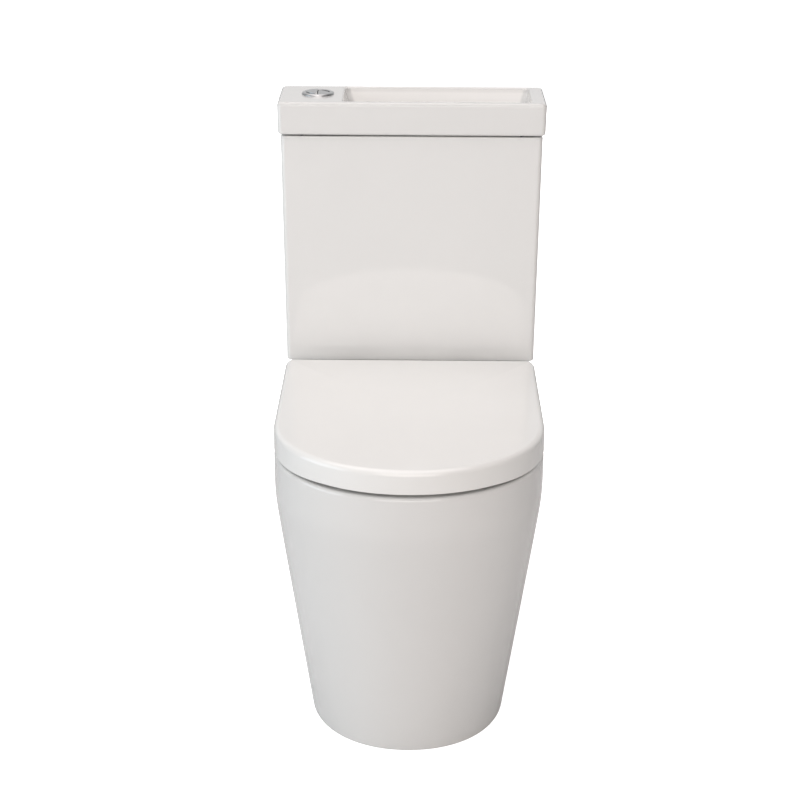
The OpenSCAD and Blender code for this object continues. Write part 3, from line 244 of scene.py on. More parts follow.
# ---- Outlines: rings of points that run counter-clockwise seen from above ----

def signed_pow(values, power):
    return np.sign(values) * np.abs(values) ** power


def ring_of(x, y, z):
    return np.column_stack([x, y, np.broadcast_to(z, np.shape(x))])


def quarter(start, stop, steps=ROUND_STEPS):
    """Angles of a round stretch, in radians."""
    return np.radians(np.linspace(start, stop, steps + 1))


def arc(start=0, stop=90, steps=ROUND_STEPS):
    """Pairs (fall, grow) that lead round an edge of radius 1: from 1 to 0, and from 0 to 1."""
    return [(1 - sin(a), 1 - cos(a)) for a in quarter(start, stop, steps)]


def d_ring(half, front, back, nose, power, r, z):
    """A curved nose towards -Y, straight sides and a straight back with rounded corners."""
    y0 = front + nose
    side = np.linspace(y0, back - r, SIDE_STEPS + 1)
    rear = np.linspace(half - r, r - half, BACK_STEPS + 1)[1:-1]
    corner = quarter(0, 90, CORNER_STEPS)
    turn = np.linspace(pi, 2 * pi, NOSE_STEPS, endpoint=False)
    x = [np.full(SIDE_STEPS, half), half - r + r * np.cos(corner), rear,
         r - half - r * np.sin(corner), np.full(SIDE_STEPS - 1, -half),
         half * signed_pow(np.cos(turn), 2 / power)]
    y = [side[:-1], back - r + r * np.sin(corner), np.full(len(rear), back),
         back - r + r * np.cos(corner), side[-2:0:-1],
         y0 + nose * signed_pow(np.sin(turn), 2 / power)]
    return ring_of(np.concatenate(x), np.concatenate(y), z)


def directions(ring, middle_y):
    """Directions of a ring's points, seen from a middle on the centre plane."""
    return np.arctan2(ring[:, 1] - middle_y, ring[:, 0])


def oval_ring(turns, middle_y, half, front, back, power, z):
    """An egg-shaped ring whose points lie in the given directions from its middle."""
    reach = np.where(np.sin(turns) < 0, front, back)
    r = (np.abs(np.cos(turns) / half) ** power + np.abs(np.sin(turns) / reach) ** power) ** (-1 / power)
    return ring_of(r * np.cos(turns), middle_y + r * np.sin(turns), z)


def rect_ring(cx, cy, hx, hy, r, z):
    """A rectangle with rounded corners."""
    x, y = [], []
    for number, (sx, sy) in enumerate(((1, -1), (1, 1), (-1, 1), (-1, -1))):
        turn = quarter(90 * (number - 1), 90 * number, CORNER_STEPS)
        x.append(cx + sx * (hx - r) + r * np.cos(turn))
        y.append(cy + sy * (hy - r) + r * np.sin(turn))
    return ring_of(np.concatenate(x), np.concatenate(y), z)


def full_turn(steps=TUBE_STEPS):
    """Angles all the way round, in radians."""
    return np.linspace(0, 2 * pi, steps, endpoint=False)


def circle(cx, cy, r, z):
    turn = full_turn()
    return ring_of(cx + r * np.cos(turn), cy + r * np.sin(turn), z)


def smooth_step(values):
    values = np.clip(values, 0, 1)
    return values * values * (3 - 2 * values)


# ---- Solids ----

def loft(name, rings, kinds=GLAZED, closed=False):
    """Object whose skin runs through rings of equal length. kinds is the place in the object's
    list of finishes that each band takes, or one place for all of them."""
    count = len(rings[0])
    last = len(rings) if closed else len(rings) - 1
    step = np.arange(count)
    after = np.roll(step, -1)
    faces, places = [], []
    for k in range(last):
        low, high = k * count, ((k + 1) % len(rings)) * count
        faces += np.column_stack([low + step, low + after, high + after, high + step]).tolist()
        places += [kinds if isinstance(kinds, int) else kinds[k]] * count
    if not closed:
        faces += [step[::-1].tolist(), (last * count + step).tolist()]
        places += [places[0], places[-1]]
    mesh = bpy.data.meshes.new(name)
    mesh.from_pydata(np.vstack(rings).tolist(), [], faces)
    mesh.polygons.foreach_set("material_index", places)
    return add_object(name, mesh)


def add_object(name, mesh):
    obj = bpy.data.objects.new(name, mesh)
    bpy.context.scene.collection.objects.link(obj)
    return obj


def turned(obj, matrix):
    obj.data.transform(matrix)
    return obj


def along_x(x0, y, z):
    """Takes a shape on the Z axis to one that runs along +X from a point."""
    return Matrix.Translation((x0, y, z)) @ Matrix.Rotation(pi / 2, 4, "Y")


def along_y(x, y0, z):
    return Matrix.Translation((x, y0, z)) @ Matrix.Rotation(-pi / 2, 4, "X")


def rod(r, height, z=0.0, x=0.0, y=0.0, kind=GLAZED, chamfer=0.0):
    """Upright round bar, with its ends chamfered where asked."""
    ends = [(z + chamfer, r), (z + height - chamfer, r)]
    if chamfer:
        ends = [(z, r - chamfer), *ends, (z + height, r - chamfer)]
    return loft("rod", [circle(x, y, radius, at) for at, radius in ends], kind)


def side_rod(side, x, y, z, r, run, start=0.0, kind=GLAZED, chamfer=0.0):
    """Round bar along X that starts at a point on the right, or for side -1 its mirror image."""
    bar = rod(r, run, start, kind=kind, chamfer=chamfer)
    if side < 0:
        turned(bar, Matrix.Rotation(pi, 4, "X"))
    return turned(bar, along_x(side * x, y, z))


def mouth(x, y, r, low, high, flare, kind=GLAZED):
    """Round hole whose upper mouth is rounded over, as glaze leaves it."""
    past_flare = 1.4 * flare
    rings = [circle(x, y, r, low)]
    rings += [circle(x, y, r + flare * grow, high - flare * fall) for fall, grow in arc(0, 80)]
    rings.append(circle(x, y, r + past_flare, high + PAST))
    return loft("mouth", rings, kind)


def block(x, y, z, r=0.0, kind=GLAZED):
    """Upright block between two values on each axis, with rounded upright edges."""
    cx, cy = sum(x) / 2, sum(y) / 2
    sharp = 0.0002  # the least radius, so that no two points meet
    rings = [rect_ring(cx, cy, (x[1] - x[0]) / 2, (y[1] - y[0]) / 2, max(r, sharp), at) for at in z]
    return loft("block", rings, kind)


def drop(obj):
    mesh = obj.data
    bpy.data.objects.remove(obj)
    bpy.data.meshes.remove(mesh)


def settle(obj):
    """Applies an object's modifiers."""
    bpy.context.view_layer.update()
    graph = bpy.context.evaluated_depsgraph_get()
    mesh = bpy.data.meshes.new_from_object(obj.evaluated_get(graph))
    old, name = obj.data, obj.data.name
    obj.modifiers.clear()
    obj.data = mesh
    bpy.data.meshes.remove(old)
    mesh.name = name


def combine(body, steps):
    """Joins tools to a body (+) or cuts them from it (-), in order."""
    for sign, tool in steps:
        step = body.modifiers.new("combine", "BOOLEAN")
        step.operation = "UNION" if sign == "+" else "DIFFERENCE"
        step.solver = "MANIFOLD"
        step.object = tool
    settle(body)
    fewest = 8  # faces that a real result has at the very least
    if len(body.data.polygons) < fewest:
        raise RuntimeError(f"{body.name} was lost in a Boolean step")
    for _, tool in steps:
        drop(tool)
    return body


def close_skin(obj, crease=34.0):
    """Cleans a mesh and shades it smooth, with hard lines only at edges over crease degrees."""
    same_point, no_length = 2e-6, 1e-6
    form = bmesh.new()
    form.from_mesh(obj.data)
    bmesh.ops.remove_doubles(form, verts=form.verts, dist=same_point)
    bmesh.ops.dissolve_degenerate(form, edges=form.edges, dist=no_length)
    bmesh.ops.recalc_face_normals(form, faces=form.faces)
    form.to_mesh(obj.data)
    form.free()
    obj.data.shade_smooth()
    obj.data.set_sharp_from_angle(angle=radians(crease))
    obj.modifiers.new("even_normals", "WEIGHTED_NORMAL").keep_sharp = True


def wear(obj, *finishes):
    """Gives an object its finishes, in the order that its faces count them."""
    obj.data.materials.clear()
    for name in finishes:
        obj.data.materials.append(bpy.data.materials[name])
    return obj


def stand_for(obj, node):
    """Puts a fine piece in the place of a CAD node."""
    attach(obj, frame["nodes"][node]["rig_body"])
    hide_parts(node)


def node_middle(node):
    low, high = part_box(node)
    return (low + high) / 2


def half_pitch(node):
    """How far each of a node's two like round pieces, left and right, stands from the middle."""
    low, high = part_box(node)
    return high.x - (high.y - low.y) / 2


def as_cuts(cuts):
    """Steps for combine that cut these tools, in order."""
    return [("-", cut) for cut in cuts]


# ---- Shader maths ----

def connect(tree, socket, value):
    if isinstance(value, Wire):
        tree.links.new(value.socket, socket)
    else:
        socket.default_value = value


def rule(operation, swapped=False):
    """A Python operator as a Math node, swapped where the wire stands on the right."""
    def act(wire, other):
        return wire.maths(operation, *((other, wire) if swapped else (wire, other)))
    return act


class Wire:
    """A shader value that takes part in sums, so that a pattern reads as an expression."""

    def __init__(self, tree, socket):
        self.tree = tree
        self.socket = socket

    def maths(self, operation, *values):
        node = self.tree.nodes.new("ShaderNodeMath")
        node.operation = operation
        for socket, value in zip(node.inputs, values):
            connect(self.tree, socket, value)
        return Wire(self.tree, node.outputs[0])

    __add__, __radd__ = rule("ADD"), rule("ADD", swapped=True)
    __sub__, __rsub__ = rule("SUBTRACT"), rule("SUBTRACT", swapped=True)
    __mul__, __rmul__ = rule("MULTIPLY"), rule("MULTIPLY", swapped=True)
    __pow__ = rule("POWER")
    __gt__, __lt__ = rule("GREATER_THAN"), rule("LESS_THAN")

    def wave(self):
        return self.maths("SINE", self)

    def bearing(self, across):
        return self.maths("ARCTAN2", self, across)


class Graph:
    """A node tree that is built up node by node."""

    def __init__(self, tree):
        self.tree = tree

    def node(self, kind, settings=None, values=None, output=0):
        """Adds a node: its settings first, then the values or links of its sockets."""
        node = self.tree.nodes.new("ShaderNode" + kind)
        for name, value in (settings or {}).items():
            setattr(node, name, value)
        for name, value in (values or {}).items():
            connect(self.tree, node.inputs[name], value)
        return Wire(self.tree, node.outputs[output])

    def ray(self, kind):
        """1 for rays of a kind, such as "Camera", and 0 for the others."""
        return self.node("LightPath", output=f"Is {kind} Ray")

    def part(self, vector, axis):
        return self.node("SeparateXYZ", values={"Vector": vector}, output=axis)

    def rise(self, value, low, high):
        """0 up to low, 1 from high on, and smooth between them."""
        return self.node("MapRange", {"interpolation_type": "SMOOTHSTEP"},
                         {"Value": value, "From Min": low, "From Max": high})


class Finish(Graph):
    """A material that is built up around one Principled shader."""

    def __init__(self, name, constants):
        self.material = bpy.data.materials.new(name)
        self.material.use_nodes = True
        super().__init__(self.material.node_tree)
        self.tree.nodes.clear()
        self.shader = self.tree.nodes.new("ShaderNodeBsdfPrincipled")
        output = self.tree.nodes.new("ShaderNodeOutputMaterial")
        self.tree.links.new(self.shader.outputs[0], output.inputs["Surface"])
        for socket, value in constants.items():
            self.shader.inputs[socket].default_value = value

    def place(self):
        return self.node("TexCoord", output="Object")

    def noise(self, scale, detail=2.0, stretch=None):
        place = self.place()
        if stretch:
            place = self.node("VectorMath", {"operation": "MULTIPLY"}, {0: place, 1: stretch})
        return self.node("TexNoise", values={"Vector": place, "Scale": scale, "Detail": detail})

    def specks(self, scale):
        return self.node("TexVoronoi", {"feature": "F1"}, {"Vector": self.place(), "Scale": scale})

    def blend(self, share, tone, first, second):
        """Mixes two shades of a tone by a share."""
        first, second = (*shade(tone, first), 1.0), (*shade(tone, second), 1.0)
        return self.node("Mix", {"data_type": "RGBA"}, {"Factor": share, 6: first, 7: second}, output=2)

    def feed(self, socket, value):
        connect(self.tree, self.shader.inputs[socket], value)

    def relief(self, height):
        """Bumps the surface by a height in metres."""
        bump = self.node("Bump", values={"Strength": 1.0, "Distance": 1.0, "Height": height})
        self.feed("Normal", bump)


def shade(tone, share):
    return tuple(channel * share for channel in tone)


def glaze(name, tone, rim_z=None):
    """Fired glaze: a clear glassy coat over white, with slow waves and a faint orange peel. At a rim
    whose height is given, its colour is painted darker on the rounded edges: painted shade that dims
    their highlight."""
    finish = Finish(name, {"IOR": 1.5, "Specular IOR Level": 0.1, "Coat Weight": 1.0,
                           "Coat Roughness": 0.035, "Coat IOR": 1.5})
    cloud = finish.noise(6.0, 3.0)
    pinhole = finish.specks(95.0) < 0.035
    colour = finish.blend(cloud * 0.9 + pinhole * 0.5, tone, 1.0, 0.965)
    if rim_z:
        # painted shade: just below the top rim, the base colour darkens by up to 60 % where the normal
        # faces half up and half out
        upward = finish.part(finish.node("NewGeometry", output="Normal"), "Z")
        low, high, edge_shade_depth = rim_z - 0.009, rim_z - 0.004, 0.6
        painted_edge_shade = finish.rise(finish.part(finish.place(), "Z"), low, high) * upward * (1.0 - upward)
        colour = finish.node("VectorMath", {"operation": "SCALE"},
                             {0: colour, "Scale": 1.0 - edge_shade_depth * painted_edge_shade})
    finish.feed("Base Color", colour)
    finish.feed("Roughness", 0.20 + 0.08 * finish.noise(35.0))
    finish.relief(finish.noise(12.0, 1.0) * 2.6e-4 + finish.noise(430.0) * 3e-6 - pinhole * 2e-5)


def bisque(name, tone):
    """Fired clay without glaze, matt and slightly sandy."""
    finish = Finish(name, {"IOR": 1.45})
    finish.feed("Base Color", finish.blend(finish.noise(28.0, 4.0), tone, 1.06, 0.86))
    finish.feed("Roughness", 0.78 + 0.14 * finish.noise(240.0))
    finish.relief(finish.noise(900.0, 4.0) * 1.1e-4 + finish.noise(40.0) * 2.5e-4)


def seat_gloss(name, tone):
    """Pressed thermoset seat: even and glossy, with a very fine skin."""
    finish = Finish(name, {"IOR": 1.52, "Coat Weight": 0.5, "Coat Roughness": 0.05})
    finish.feed("Base Color", finish.blend(finish.noise(9.0, 2.0), tone, 1.0, 0.98))
    finish.feed("Roughness", 0.16 + 0.07 * finish.noise(60.0))
    finish.relief(finish.noise(16.0, 1.0) * 1.2e-4 + finish.noise(700.0) * 3e-6)


def plastic(name, tone, gloss, threads=()):
    """Moulded plastic with a fine grain; threads are (x, y, radius, low, high, pitch)."""
    finish = Finish(name, {"IOR": 1.46})
    finish.feed("Base Color", finish.blend(finish.noise(45.0, 3.0), tone, 1.03, 0.93))
    finish.feed("Roughness", gloss + 0.10 * finish.noise(160.0))
    grain = finish.noise(1600.0, 2.0) * 1.6e-5 + finish.noise(55.0) * 6e-5
    finish.relief(grain + cut_threads(finish, threads))


def metal(name, tone, gloss, threads=(), mottle=0.0):
    """Plated or bare metal with fine scratches and, where bare, a mottled surface."""
    finish = Finish(name, {"Metallic": 1.0})
    spangle = finish.specks(260.0)
    finish.feed("Base Color", finish.blend(spangle * mottle, tone, 1.0, 0.7))
    scratch = finish.noise(900.0, 3.0, stretch=(1.0, 0.06, 1.0))
    finish.feed("Roughness", gloss + 0.06 * scratch + 0.25 * mottle * spangle)
    finish.relief(scratch * 1.5e-6 + finish.noise(80.0) * 2e-5 + cut_threads(finish, threads))


def rubber(name, tone):
    """Moulded rubber, matt with a little bloom."""
    finish = Finish(name, {"IOR": 1.5})
    finish.feed("Base Color", finish.blend(finish.noise(70.0, 4.0), tone, 1.0, 1.5))
    finish.feed("Roughness", 0.55 + 0.2 * finish.noise(300.0))
    finish.relief(finish.noise(1300.0, 3.0) * 3e-5)


def cut_threads(finish, threads):
    """Height of helical threads on upright bars."""
    skin, depth = 0.0006, 0.22  # how far off its radius a thread shows, and its height per pitch
    height = 0.0
    if not threads:
        return height
    x, y, z = (finish.part(finish.place(), axis) for axis in "XYZ")
    for cx, cy, r, low, high, pitch in threads:
        dx, dy = x - cx, y - cy
        turn = dy.bearing(dx) + z * (2 * pi / pitch)
        distance = (dx * dx + dy * dy) ** 0.5
        shaft = (distance > r - skin) * (distance < r + skin)
        height = height + turn.wave() * shaft * (z > low) * (z < high) * (pitch * depth)
    return height


# ---- Pan ----

class PanForm:
    """Outlines of the pan at any height, from its settings."""

    # exponents of the outline's and the bowl's curves, and the radius round the sump's floor
    power = 2.1
    bowl_power = 2.15
    sump_round = 0.010

    def __init__(self, s):
        self.s = s
        self.bowl_y = WALL_Y - s.bowl_from_wall
        self.sump_y = WALL_Y - s.sump_from_wall
        self.under_z = s.rim_z - s.wall
        self.turns = directions(self.ring(s.rim_z, s.edge), self.bowl_y)

    def soft_min(self, a, b):
        return (a + b - sqrt((a - b) ** 2 + self.s.knee_soft ** 2)) / 2

    def half(self, z):
        s = self.s
        taper = s.base_width + (s.width - s.base_width) * z / s.knee_z
        return self.soft_min(s.width / 2, taper / 2)

    def front(self, z):
        s = self.s
        reach = -FRONT_Y - s.setback
        return -self.soft_min(reach, reach - s.foot_back * (1 - z / s.knee_z))

    def ring(self, z, inset=0.0):
        s = self.s
        nose = s.foot_nose + (s.rim_nose - s.foot_nose) * z / s.rim_z
        return d_ring(self.half(z) - inset, self.front(z) + inset, WALL_Y - inset, nose - inset,
                      self.power, s.corner, z)

    def bowl(self, share, grow, z):
        """Ring of the bowl at a depth share, from the rim at 0 to the sump at 1."""
        s = self.s
        open_share = (1 + cos(pi * share ** 1.1)) / 2

        def between(low, high):
            return low + (high - low) * open_share + grow

        middle = self.sump_y + (self.bowl_y - self.sump_y) * open_share
        return oval_ring(self.turns, middle, between(s.sump_half, s.bowl_half),
                         between(s.sump_half - 0.004, s.bowl_front),
                         between(s.sump_half, s.bowl_back), self.bowl_power, z)

    def skin(self):
        """Rings of the whole shell and the finish of each band."""
        s = self.s
        low_z = s.sump_z - s.bowl_wall
        shares = np.linspace(0, 1, 43)
        inner, foot, sump_rise = 0.006, 0.002, 0.004  # heights of the small rounded edges
        bend_z = 0.27  # the skirt's rings lie closer above this height, where it bends
        hidden = [self.bowl(1, s.bowl_wall - self.sump_round, low_z)]
        hidden += [self.bowl(t, s.bowl_wall, self.under_z + (low_z + sump_rise - self.under_z) * t)
                   for t in shares[::-1]]
        hidden += [self.ring(self.under_z, s.wall + inner * fall) - np.array([0, 0, inner * grow])
                   for fall, grow in arc(0, 80, 4)]
        hidden += [self.ring(z, s.wall) for z in np.linspace(self.under_z - inner, bend_z, 14)]
        hidden += [self.ring(z, s.wall) for z in np.linspace(bend_z - 0.03, 0, 9)]
        visible = [self.ring(foot * up, foot * inset) for up, inset in ((0, 1), (0.3, 0.3), (1, 0))]
        visible += [self.ring(z) for z in np.linspace(10 * foot, bend_z, 14)]
        visible += [self.ring(z) for z in np.linspace(bend_z + 0.01, s.rim_z - s.edge - foot, 30)]
        visible += [self.ring(s.rim_z - s.edge * fall, s.edge * grow) for fall, grow in arc(steps=12)]
        visible += [self.bowl(0, s.bowl_edge * fall, s.rim_z - s.bowl_edge * grow)
                    for fall, grow in arc()]
        bottom, top = s.sump_z + sump_rise, s.rim_z - s.bowl_edge
        visible += [self.bowl(t, 0, top + (bottom - top) * t) for t in shares[1:]]
        visible += [self.bowl(1, self.sump_round * (fall - 1), bottom - sump_rise * grow)
                    for fall, grow in arc(20, 90, 6)]
        return hidden + visible, [BARE] * (len(hidden) + 1) + [GLAZED] * (len(visible) - 2)


class WaterWay:
    """Middle line of the water way, in the centre plane, as [y, z, heading]."""

    def __init__(self, start, radius):
        self.points = [start]
        self.radius = radius

    def go(self, run):
        y, z, heading = self.points[-1]
        self.points.append((y + run * cos(heading), z + run * sin(heading), heading))
        return self

    def bend(self, turn, steps=14):
        y, z, heading = self.points[-1]
        side = 1 if turn > 0 else -1
        cy, cz = y - side * self.radius * sin(heading), z + side * self.radius * cos(heading)
        for k in range(1, steps + 1):
            h = heading + turn * k / steps
            self.points.append((cy + side * self.radius * sin(h), cz - side * self.radius * cos(h), h))
        return self

    def tube(self, r, kind=GLAZED):
        turn = full_turn()
        rings = [ring_of(r * np.cos(turn), y + r * np.sin(turn) * sin(h), z - r * np.sin(turn) * cos(h))
                 for y, z, h in self.points]
        return loft("tube", rings, kind)


def water_way(s, form, start_y):
    """From the sump over the weir to the outlet, through tangent bends."""
    rise, fall = radians(80), radians(25)  # slopes before and behind the weir
    sill, lead = 0.002, 0.024  # of the sump under the way, and straight ahead of its first bend
    trap_z = s.sump_z + s.trap_radius + sill
    bend_y = form.sump_y + s.sump_half + lead
    way = WaterWay((start_y, trap_z, 0.0), s.trap_bend).go(bend_y - start_y).bend(rise)
    crest = s.trap_bend * (1 - cos(rise))
    way.go((s.weir_z - crest - way.points[-1][1]) / sin(rise)).bend(-rise - fall)
    way.go((way.points[-1][1] - s.outlet_z - s.trap_bend * (1 - cos(fall))) / sin(fall)).bend(fall)
    spigot_y = WALL_Y - s.outlet_back - s.outlet_length
    return way.go(spigot_y + PAST - way.points[-1][0])


class TOILET_OT_pan(bpy.types.Operator):
    """Casts the pan: skirt, rim, bowl, water way, flush way and platform"""

    bl_idname = "toilet.pan"
    bl_label = "Pan"

    HOLLOW_WALL, DECK = 0.014, 0.013  # round the platform's hollow, and over it
    # The flush way to the bowl, and the radii of its upright bore and of the gasket's seat
    DUCT_HALF, DUCT_HEIGHT, DUCT_WALL, DUCT_ROOF = 0.032, 0.028, 0.010, 0.006
    FLUSH_BORE, GASKET_SEAT, SEAT_DEPTH = 0.033, 0.048, 0.022
    BOLT_HOLE = 0.0065
    INTO = 0.002  # how far an added piece runs into the one that it joins

    def execute(self, context):
        s = context.scene.toilet_pan
        form = PanForm(s)
        rings, kinds = form.skin()
        pan = wear(loft("pan_ceramic", rings, kinds), "pan_glaze_painted_shade", "bisque")
        service = node_middle("flush_valve_body").y
        top = s.rim_z + s.platform_height
        pocket = top - self.DECK
        back = WALL_Y - s.platform_depth
        hollow = s.platform_width / 2 - self.HOLLOW_WALL
        duct_z = form.under_z - self.DUCT_ROOF - self.DUCT_HEIGHT
        duct_half = self.DUCT_HALF + self.DUCT_WALL
        duct_low = duct_z - self.DUCT_WALL
        boss_half, boss_in = self.GASKET_SEAT + self.DUCT_WALL, 0.012
        duct_rear, in_bowl = 0.051, 0.022  # how far it runs behind its bore, and into the bowl
        bowl_end = form.bowl_y + s.bowl_back
        spigot = (0.0, WALL_Y - s.outlet_back - s.outlet_length, s.outlet_z)
        bore = s.outlet_radius - s.trap_wall
        in_sump, off_sump = 0.010, 0.009  # where the bore and the wall of the water way start
        way_in = water_way(s, form, form.sump_y - in_sump)
        shell = water_way(s, form, form.sump_y + s.sump_half + off_sump)
        combine(pan, [
            ("+", self.platform(s, form, top)),
            ("-", block((-hollow, hollow), (back + self.HOLLOW_WALL, WALL_Y - self.HOLLOW_WALL),
                        (form.under_z - self.HOLLOW_WALL, pocket), r=0.008, kind=BARE)),
            ("+", shell.tube(s.trap_radius + s.trap_wall, BARE)),
            ("+", turned(rod(s.outlet_radius, s.outlet_length, kind=BARE, chamfer=0.0015),
                         along_y(*spigot))),
            ("+", block((-duct_half, duct_half), (bowl_end + 2 * self.INTO, service + duct_rear),
                        (duct_low, form.under_z + 2 * self.INTO), r=0.006, kind=BARE)),
            ("+", block((-boss_half, boss_half), (back + boss_in, WALL_Y - boss_in),
                        (duct_low, pocket + self.INTO), r=0.010, kind=BARE)),
            ("-", way_in.tube(s.trap_radius)),
            ("-", turned(rod(bore, s.outlet_length + PAST),
                         along_y(spigot[0], spigot[1] + PAST / 2, spigot[2]))),
            ("-", rod(self.FLUSH_BORE, top - duct_z, duct_z, y=service)),
            ("-", mouth(0.0, service, self.GASKET_SEAT, top - self.SEAT_DEPTH, top, flare=0.003)),
            ("-", block((-self.DUCT_HALF, self.DUCT_HALF), (bowl_end - in_bowl, service),
                        (duct_z, duct_z + self.DUCT_HEIGHT))),
            *as_cuts(self.fixing_holes(s, form, service, top, pocket)),
        ])
        close_skin(pan)
        stand_for(pan, "pan")
        return {"FINISHED"}

    def platform(self, s, form, top):
        """Raised platform that swells into the deck at its foot and is rounded over on top."""
        half, deep, foot, edge = s.platform_width / 2, s.platform_depth / 2, 0.003, 0.004

        def ring(grow, z, rear=0.0):
            y, hy = WALL_Y - deep - (grow + rear) / 2, deep + (grow - rear) / 2
            return rect_ring(0, y, half + grow, hy, s.corner, z)

        rings = [ring(foot, form.under_z + self.INTO), ring(foot, s.rim_z)]
        rings += [ring(foot * fall, s.rim_z + foot * grow) for fall, grow in arc(10, 90, 8)]
        rings += [ring(-edge * grow, top - edge * fall, edge * grow) for fall, grow in arc()]
        return loft("platform", rings)

    def fixing_holes(self, s, form, service, top, pocket):
        """Holes for bolts, notches for the water supply, the open back and the cap seats."""
        cuts = []
        hinge = node_middle("hinge_bolts").y
        notch_half, notch_y = 0.023, (WALL_Y - 0.092, WALL_Y + 0.008)
        notch_z = (form.under_z - 0.020, top + 0.016)
        cap_z, sunk = 0.022, 0.003
        # radius, run, start and finish of a cap's seat and of the screw's hole
        seat, hole = (0.0085, 0.020, 0.0, GLAZED), (0.004, 0.040, -0.030, BARE)
        for side in (-1, 1):
            cuts.append(mouth(side * half_pitch("hinge_bolts"), hinge, self.BOLT_HOLE,
                              form.under_z - PAST, s.rim_z, flare=0.0012, kind=BARE))
            cuts.append(rod(self.BOLT_HOLE, self.DECK + 3 * PAST, pocket - PAST,
                            side * half_pitch("coupling_bolts"), service, BARE))
            supply = side * node_middle("inlet_valve").x
            cuts.append(block((supply - notch_half, supply + notch_half), notch_y, notch_z,
                              r=0.004, kind=BARE))
            for sizes in (seat, hole):
                cuts.append(side_rod(side, form.half(cap_z) - sunk, node_middle("screw_caps").y, cap_z,
                                     *sizes))
        low, high, knee, slant = 0.095, 0.118, 0.305, 0.030
        outline = [(-low, -PAST), (low, -PAST), (high, knee - slant), (high - slant, knee),
                   (slant - high, knee), (-high, knee - slant)]
        rings = [np.array([(x, y, z) for x, z in outline])
                 for y in (WALL_Y + PAST, WALL_Y - s.wall - PAST)]
        cuts.append(loft("open_back", rings, BARE))
        return cuts


# ---- Seat ----

class SeatForm:
    """Outlines of the lid and the ring."""

    # exponents of the lid's and the opening's curves
    power = 2.07
    ring_power = 2.2
    # radius of the lid's rear corners in plan, and the least that an inset leaves of it
    corner = 0.012
    least_corner = 0.004
    # Cross-section of the ring as (share of its width from outside to inside, height share)
    section = ((0.03, 0.03), (0, 0.16), (0, 0.72), (0.03, 0.87), (0.1, 0.96), (0.28, 1), (0.52, 0.98),
               (0.8, 0.88), (0.94, 0.76), (1, 0.56), (1, 0.2), (0.97, 0.05), (0.92, 0), (0.08, 0))

    def __init__(self, s, bowl_y):
        self.s = s
        self.bowl_y = bowl_y
        self.back = WALL_Y - s.from_wall

    def outline(self, inset, z):
        s = self.s
        return d_ring(s.width / 2 - inset, FRONT_Y + inset, self.back - inset, s.nose - inset,
                      self.power, max(self.corner - inset, self.least_corner), z)

    def edge_ring(self, inset, z):
        """Near the lower edge, the outline falls along the sides and rises round the rear corners."""
        starts, runs = 0.55, 0.40  # where the fall starts and how far it runs, in half widths
        rear_run, corner_run, corner_rise, height = 0.05, 0.008, 0.006, 0.014
        ring = self.outline(inset, z)
        x, y = np.abs(ring[:, 0]), ring[:, 1]
        half = self.s.width / 2
        fall = smooth_step((x - starts * half) / (runs * half))
        fall *= smooth_step((self.back - rear_run - y) / rear_run)
        rise = smooth_step((y - self.back + self.corner) / corner_run)
        near = 1 - smooth_step((z - self.s.low_z) / height)
        ring[:, 2] += near * (corner_rise * rise - self.s.droop * fall)
        return ring

    def shoulder(self, inset, low, rise):
        """The lid's rounded top edge: at the back it is tighter and reaches the full height."""
        s = self.s
        starts, runs = 0.060, 0.050  # before the back
        ring = self.outline(inset, low + rise)
        rear = smooth_step((ring[:, 1] - self.back + starts) / runs)
        ring[:, 1] += inset * (1 - s.back_edge / s.edge) * rear
        ring[:, 2] += s.crown * rear * rise / s.edge
        return ring

    def lid(self):
        s = self.s
        under, low, side_top = s.top_z - s.wall, s.low_z, s.top_z - s.crown - s.edge
        inner, lip = 0.004, 0.0012
        rings = [self.outline(s.wall + inner * fall, under - inner * grow) for fall, grow in arc(steps=6)]
        rings += [self.edge_ring(s.wall, z) for z in np.linspace(under - 1.5 * inner, low + PAST, 10)]
        rings += [self.edge_ring(s.wall - lip * grow, low + lip * fall) for fall, grow in arc(20, 90, 5)]
        rings += [self.edge_ring(lip * fall, low + lip * grow) for fall, grow in arc(steps=5)]
        rings += [self.edge_ring(0, z) for z in np.linspace(low + 0.003, side_top - 0.002, 9)]
        rings += [self.shoulder(s.edge * grow, side_top, s.edge * (1 - fall))
                  for fall, grow in arc(steps=16)]
        last = rings[-1]
        flatness = 5  # the higher, the flatter the crown's middle
        for share in np.linspace(0.97, 0.04, 22):
            ring = last.copy()
            ring[:, 0] *= share
            ring[:, 1] = self.bowl_y + (ring[:, 1] - self.bowl_y) * share
            ring[:, 2] = s.top_z - (s.top_z - last[:, 2]) * share ** flatness
            rings.append(ring)
        return rings

    def ring(self):
        s = self.s
        inset = s.wall + s.side_gap
        outer = d_ring(s.width / 2 - inset, FRONT_Y + inset, WALL_Y - s.ring_from_wall, s.nose - inset,
                       self.power, self.corner, 0.0)
        inner = oval_ring(directions(outer, self.bowl_y), self.bowl_y, s.ring_half, s.ring_front,
                          s.ring_back, self.ring_power, 0.0)
        rings = []
        for share, height in curve_through(self.section, 5):
            ring = outer + (inner - outer) * share
            ring[:, 2] = s.ring_z + s.ring_height * min(1.0, max(0.0, height))
            rings.append(ring)
        return rings


def curve_through(points, steps):
    """Closed smooth curve through points, as a list of points: a cubic between each two of them."""
    points = np.array(points, float)
    path = []
    for k in range(len(points)):
        a, b, c, d = (points[(k + j) % len(points)] for j in (-1, 0, 1, 2))
        for t in np.linspace(0, 1, steps, endpoint=False):
            path.append(b + 0.5 * t * (c - a) + t * t * (a - 2.5 * b + 2 * c - 0.5 * d)
                        + t * t * t * (1.5 * (b - c) + 0.5 * (d - a)))
    return path


def sided(side, low, high):
    return (low, high) if side > 0 else (-high, -low)


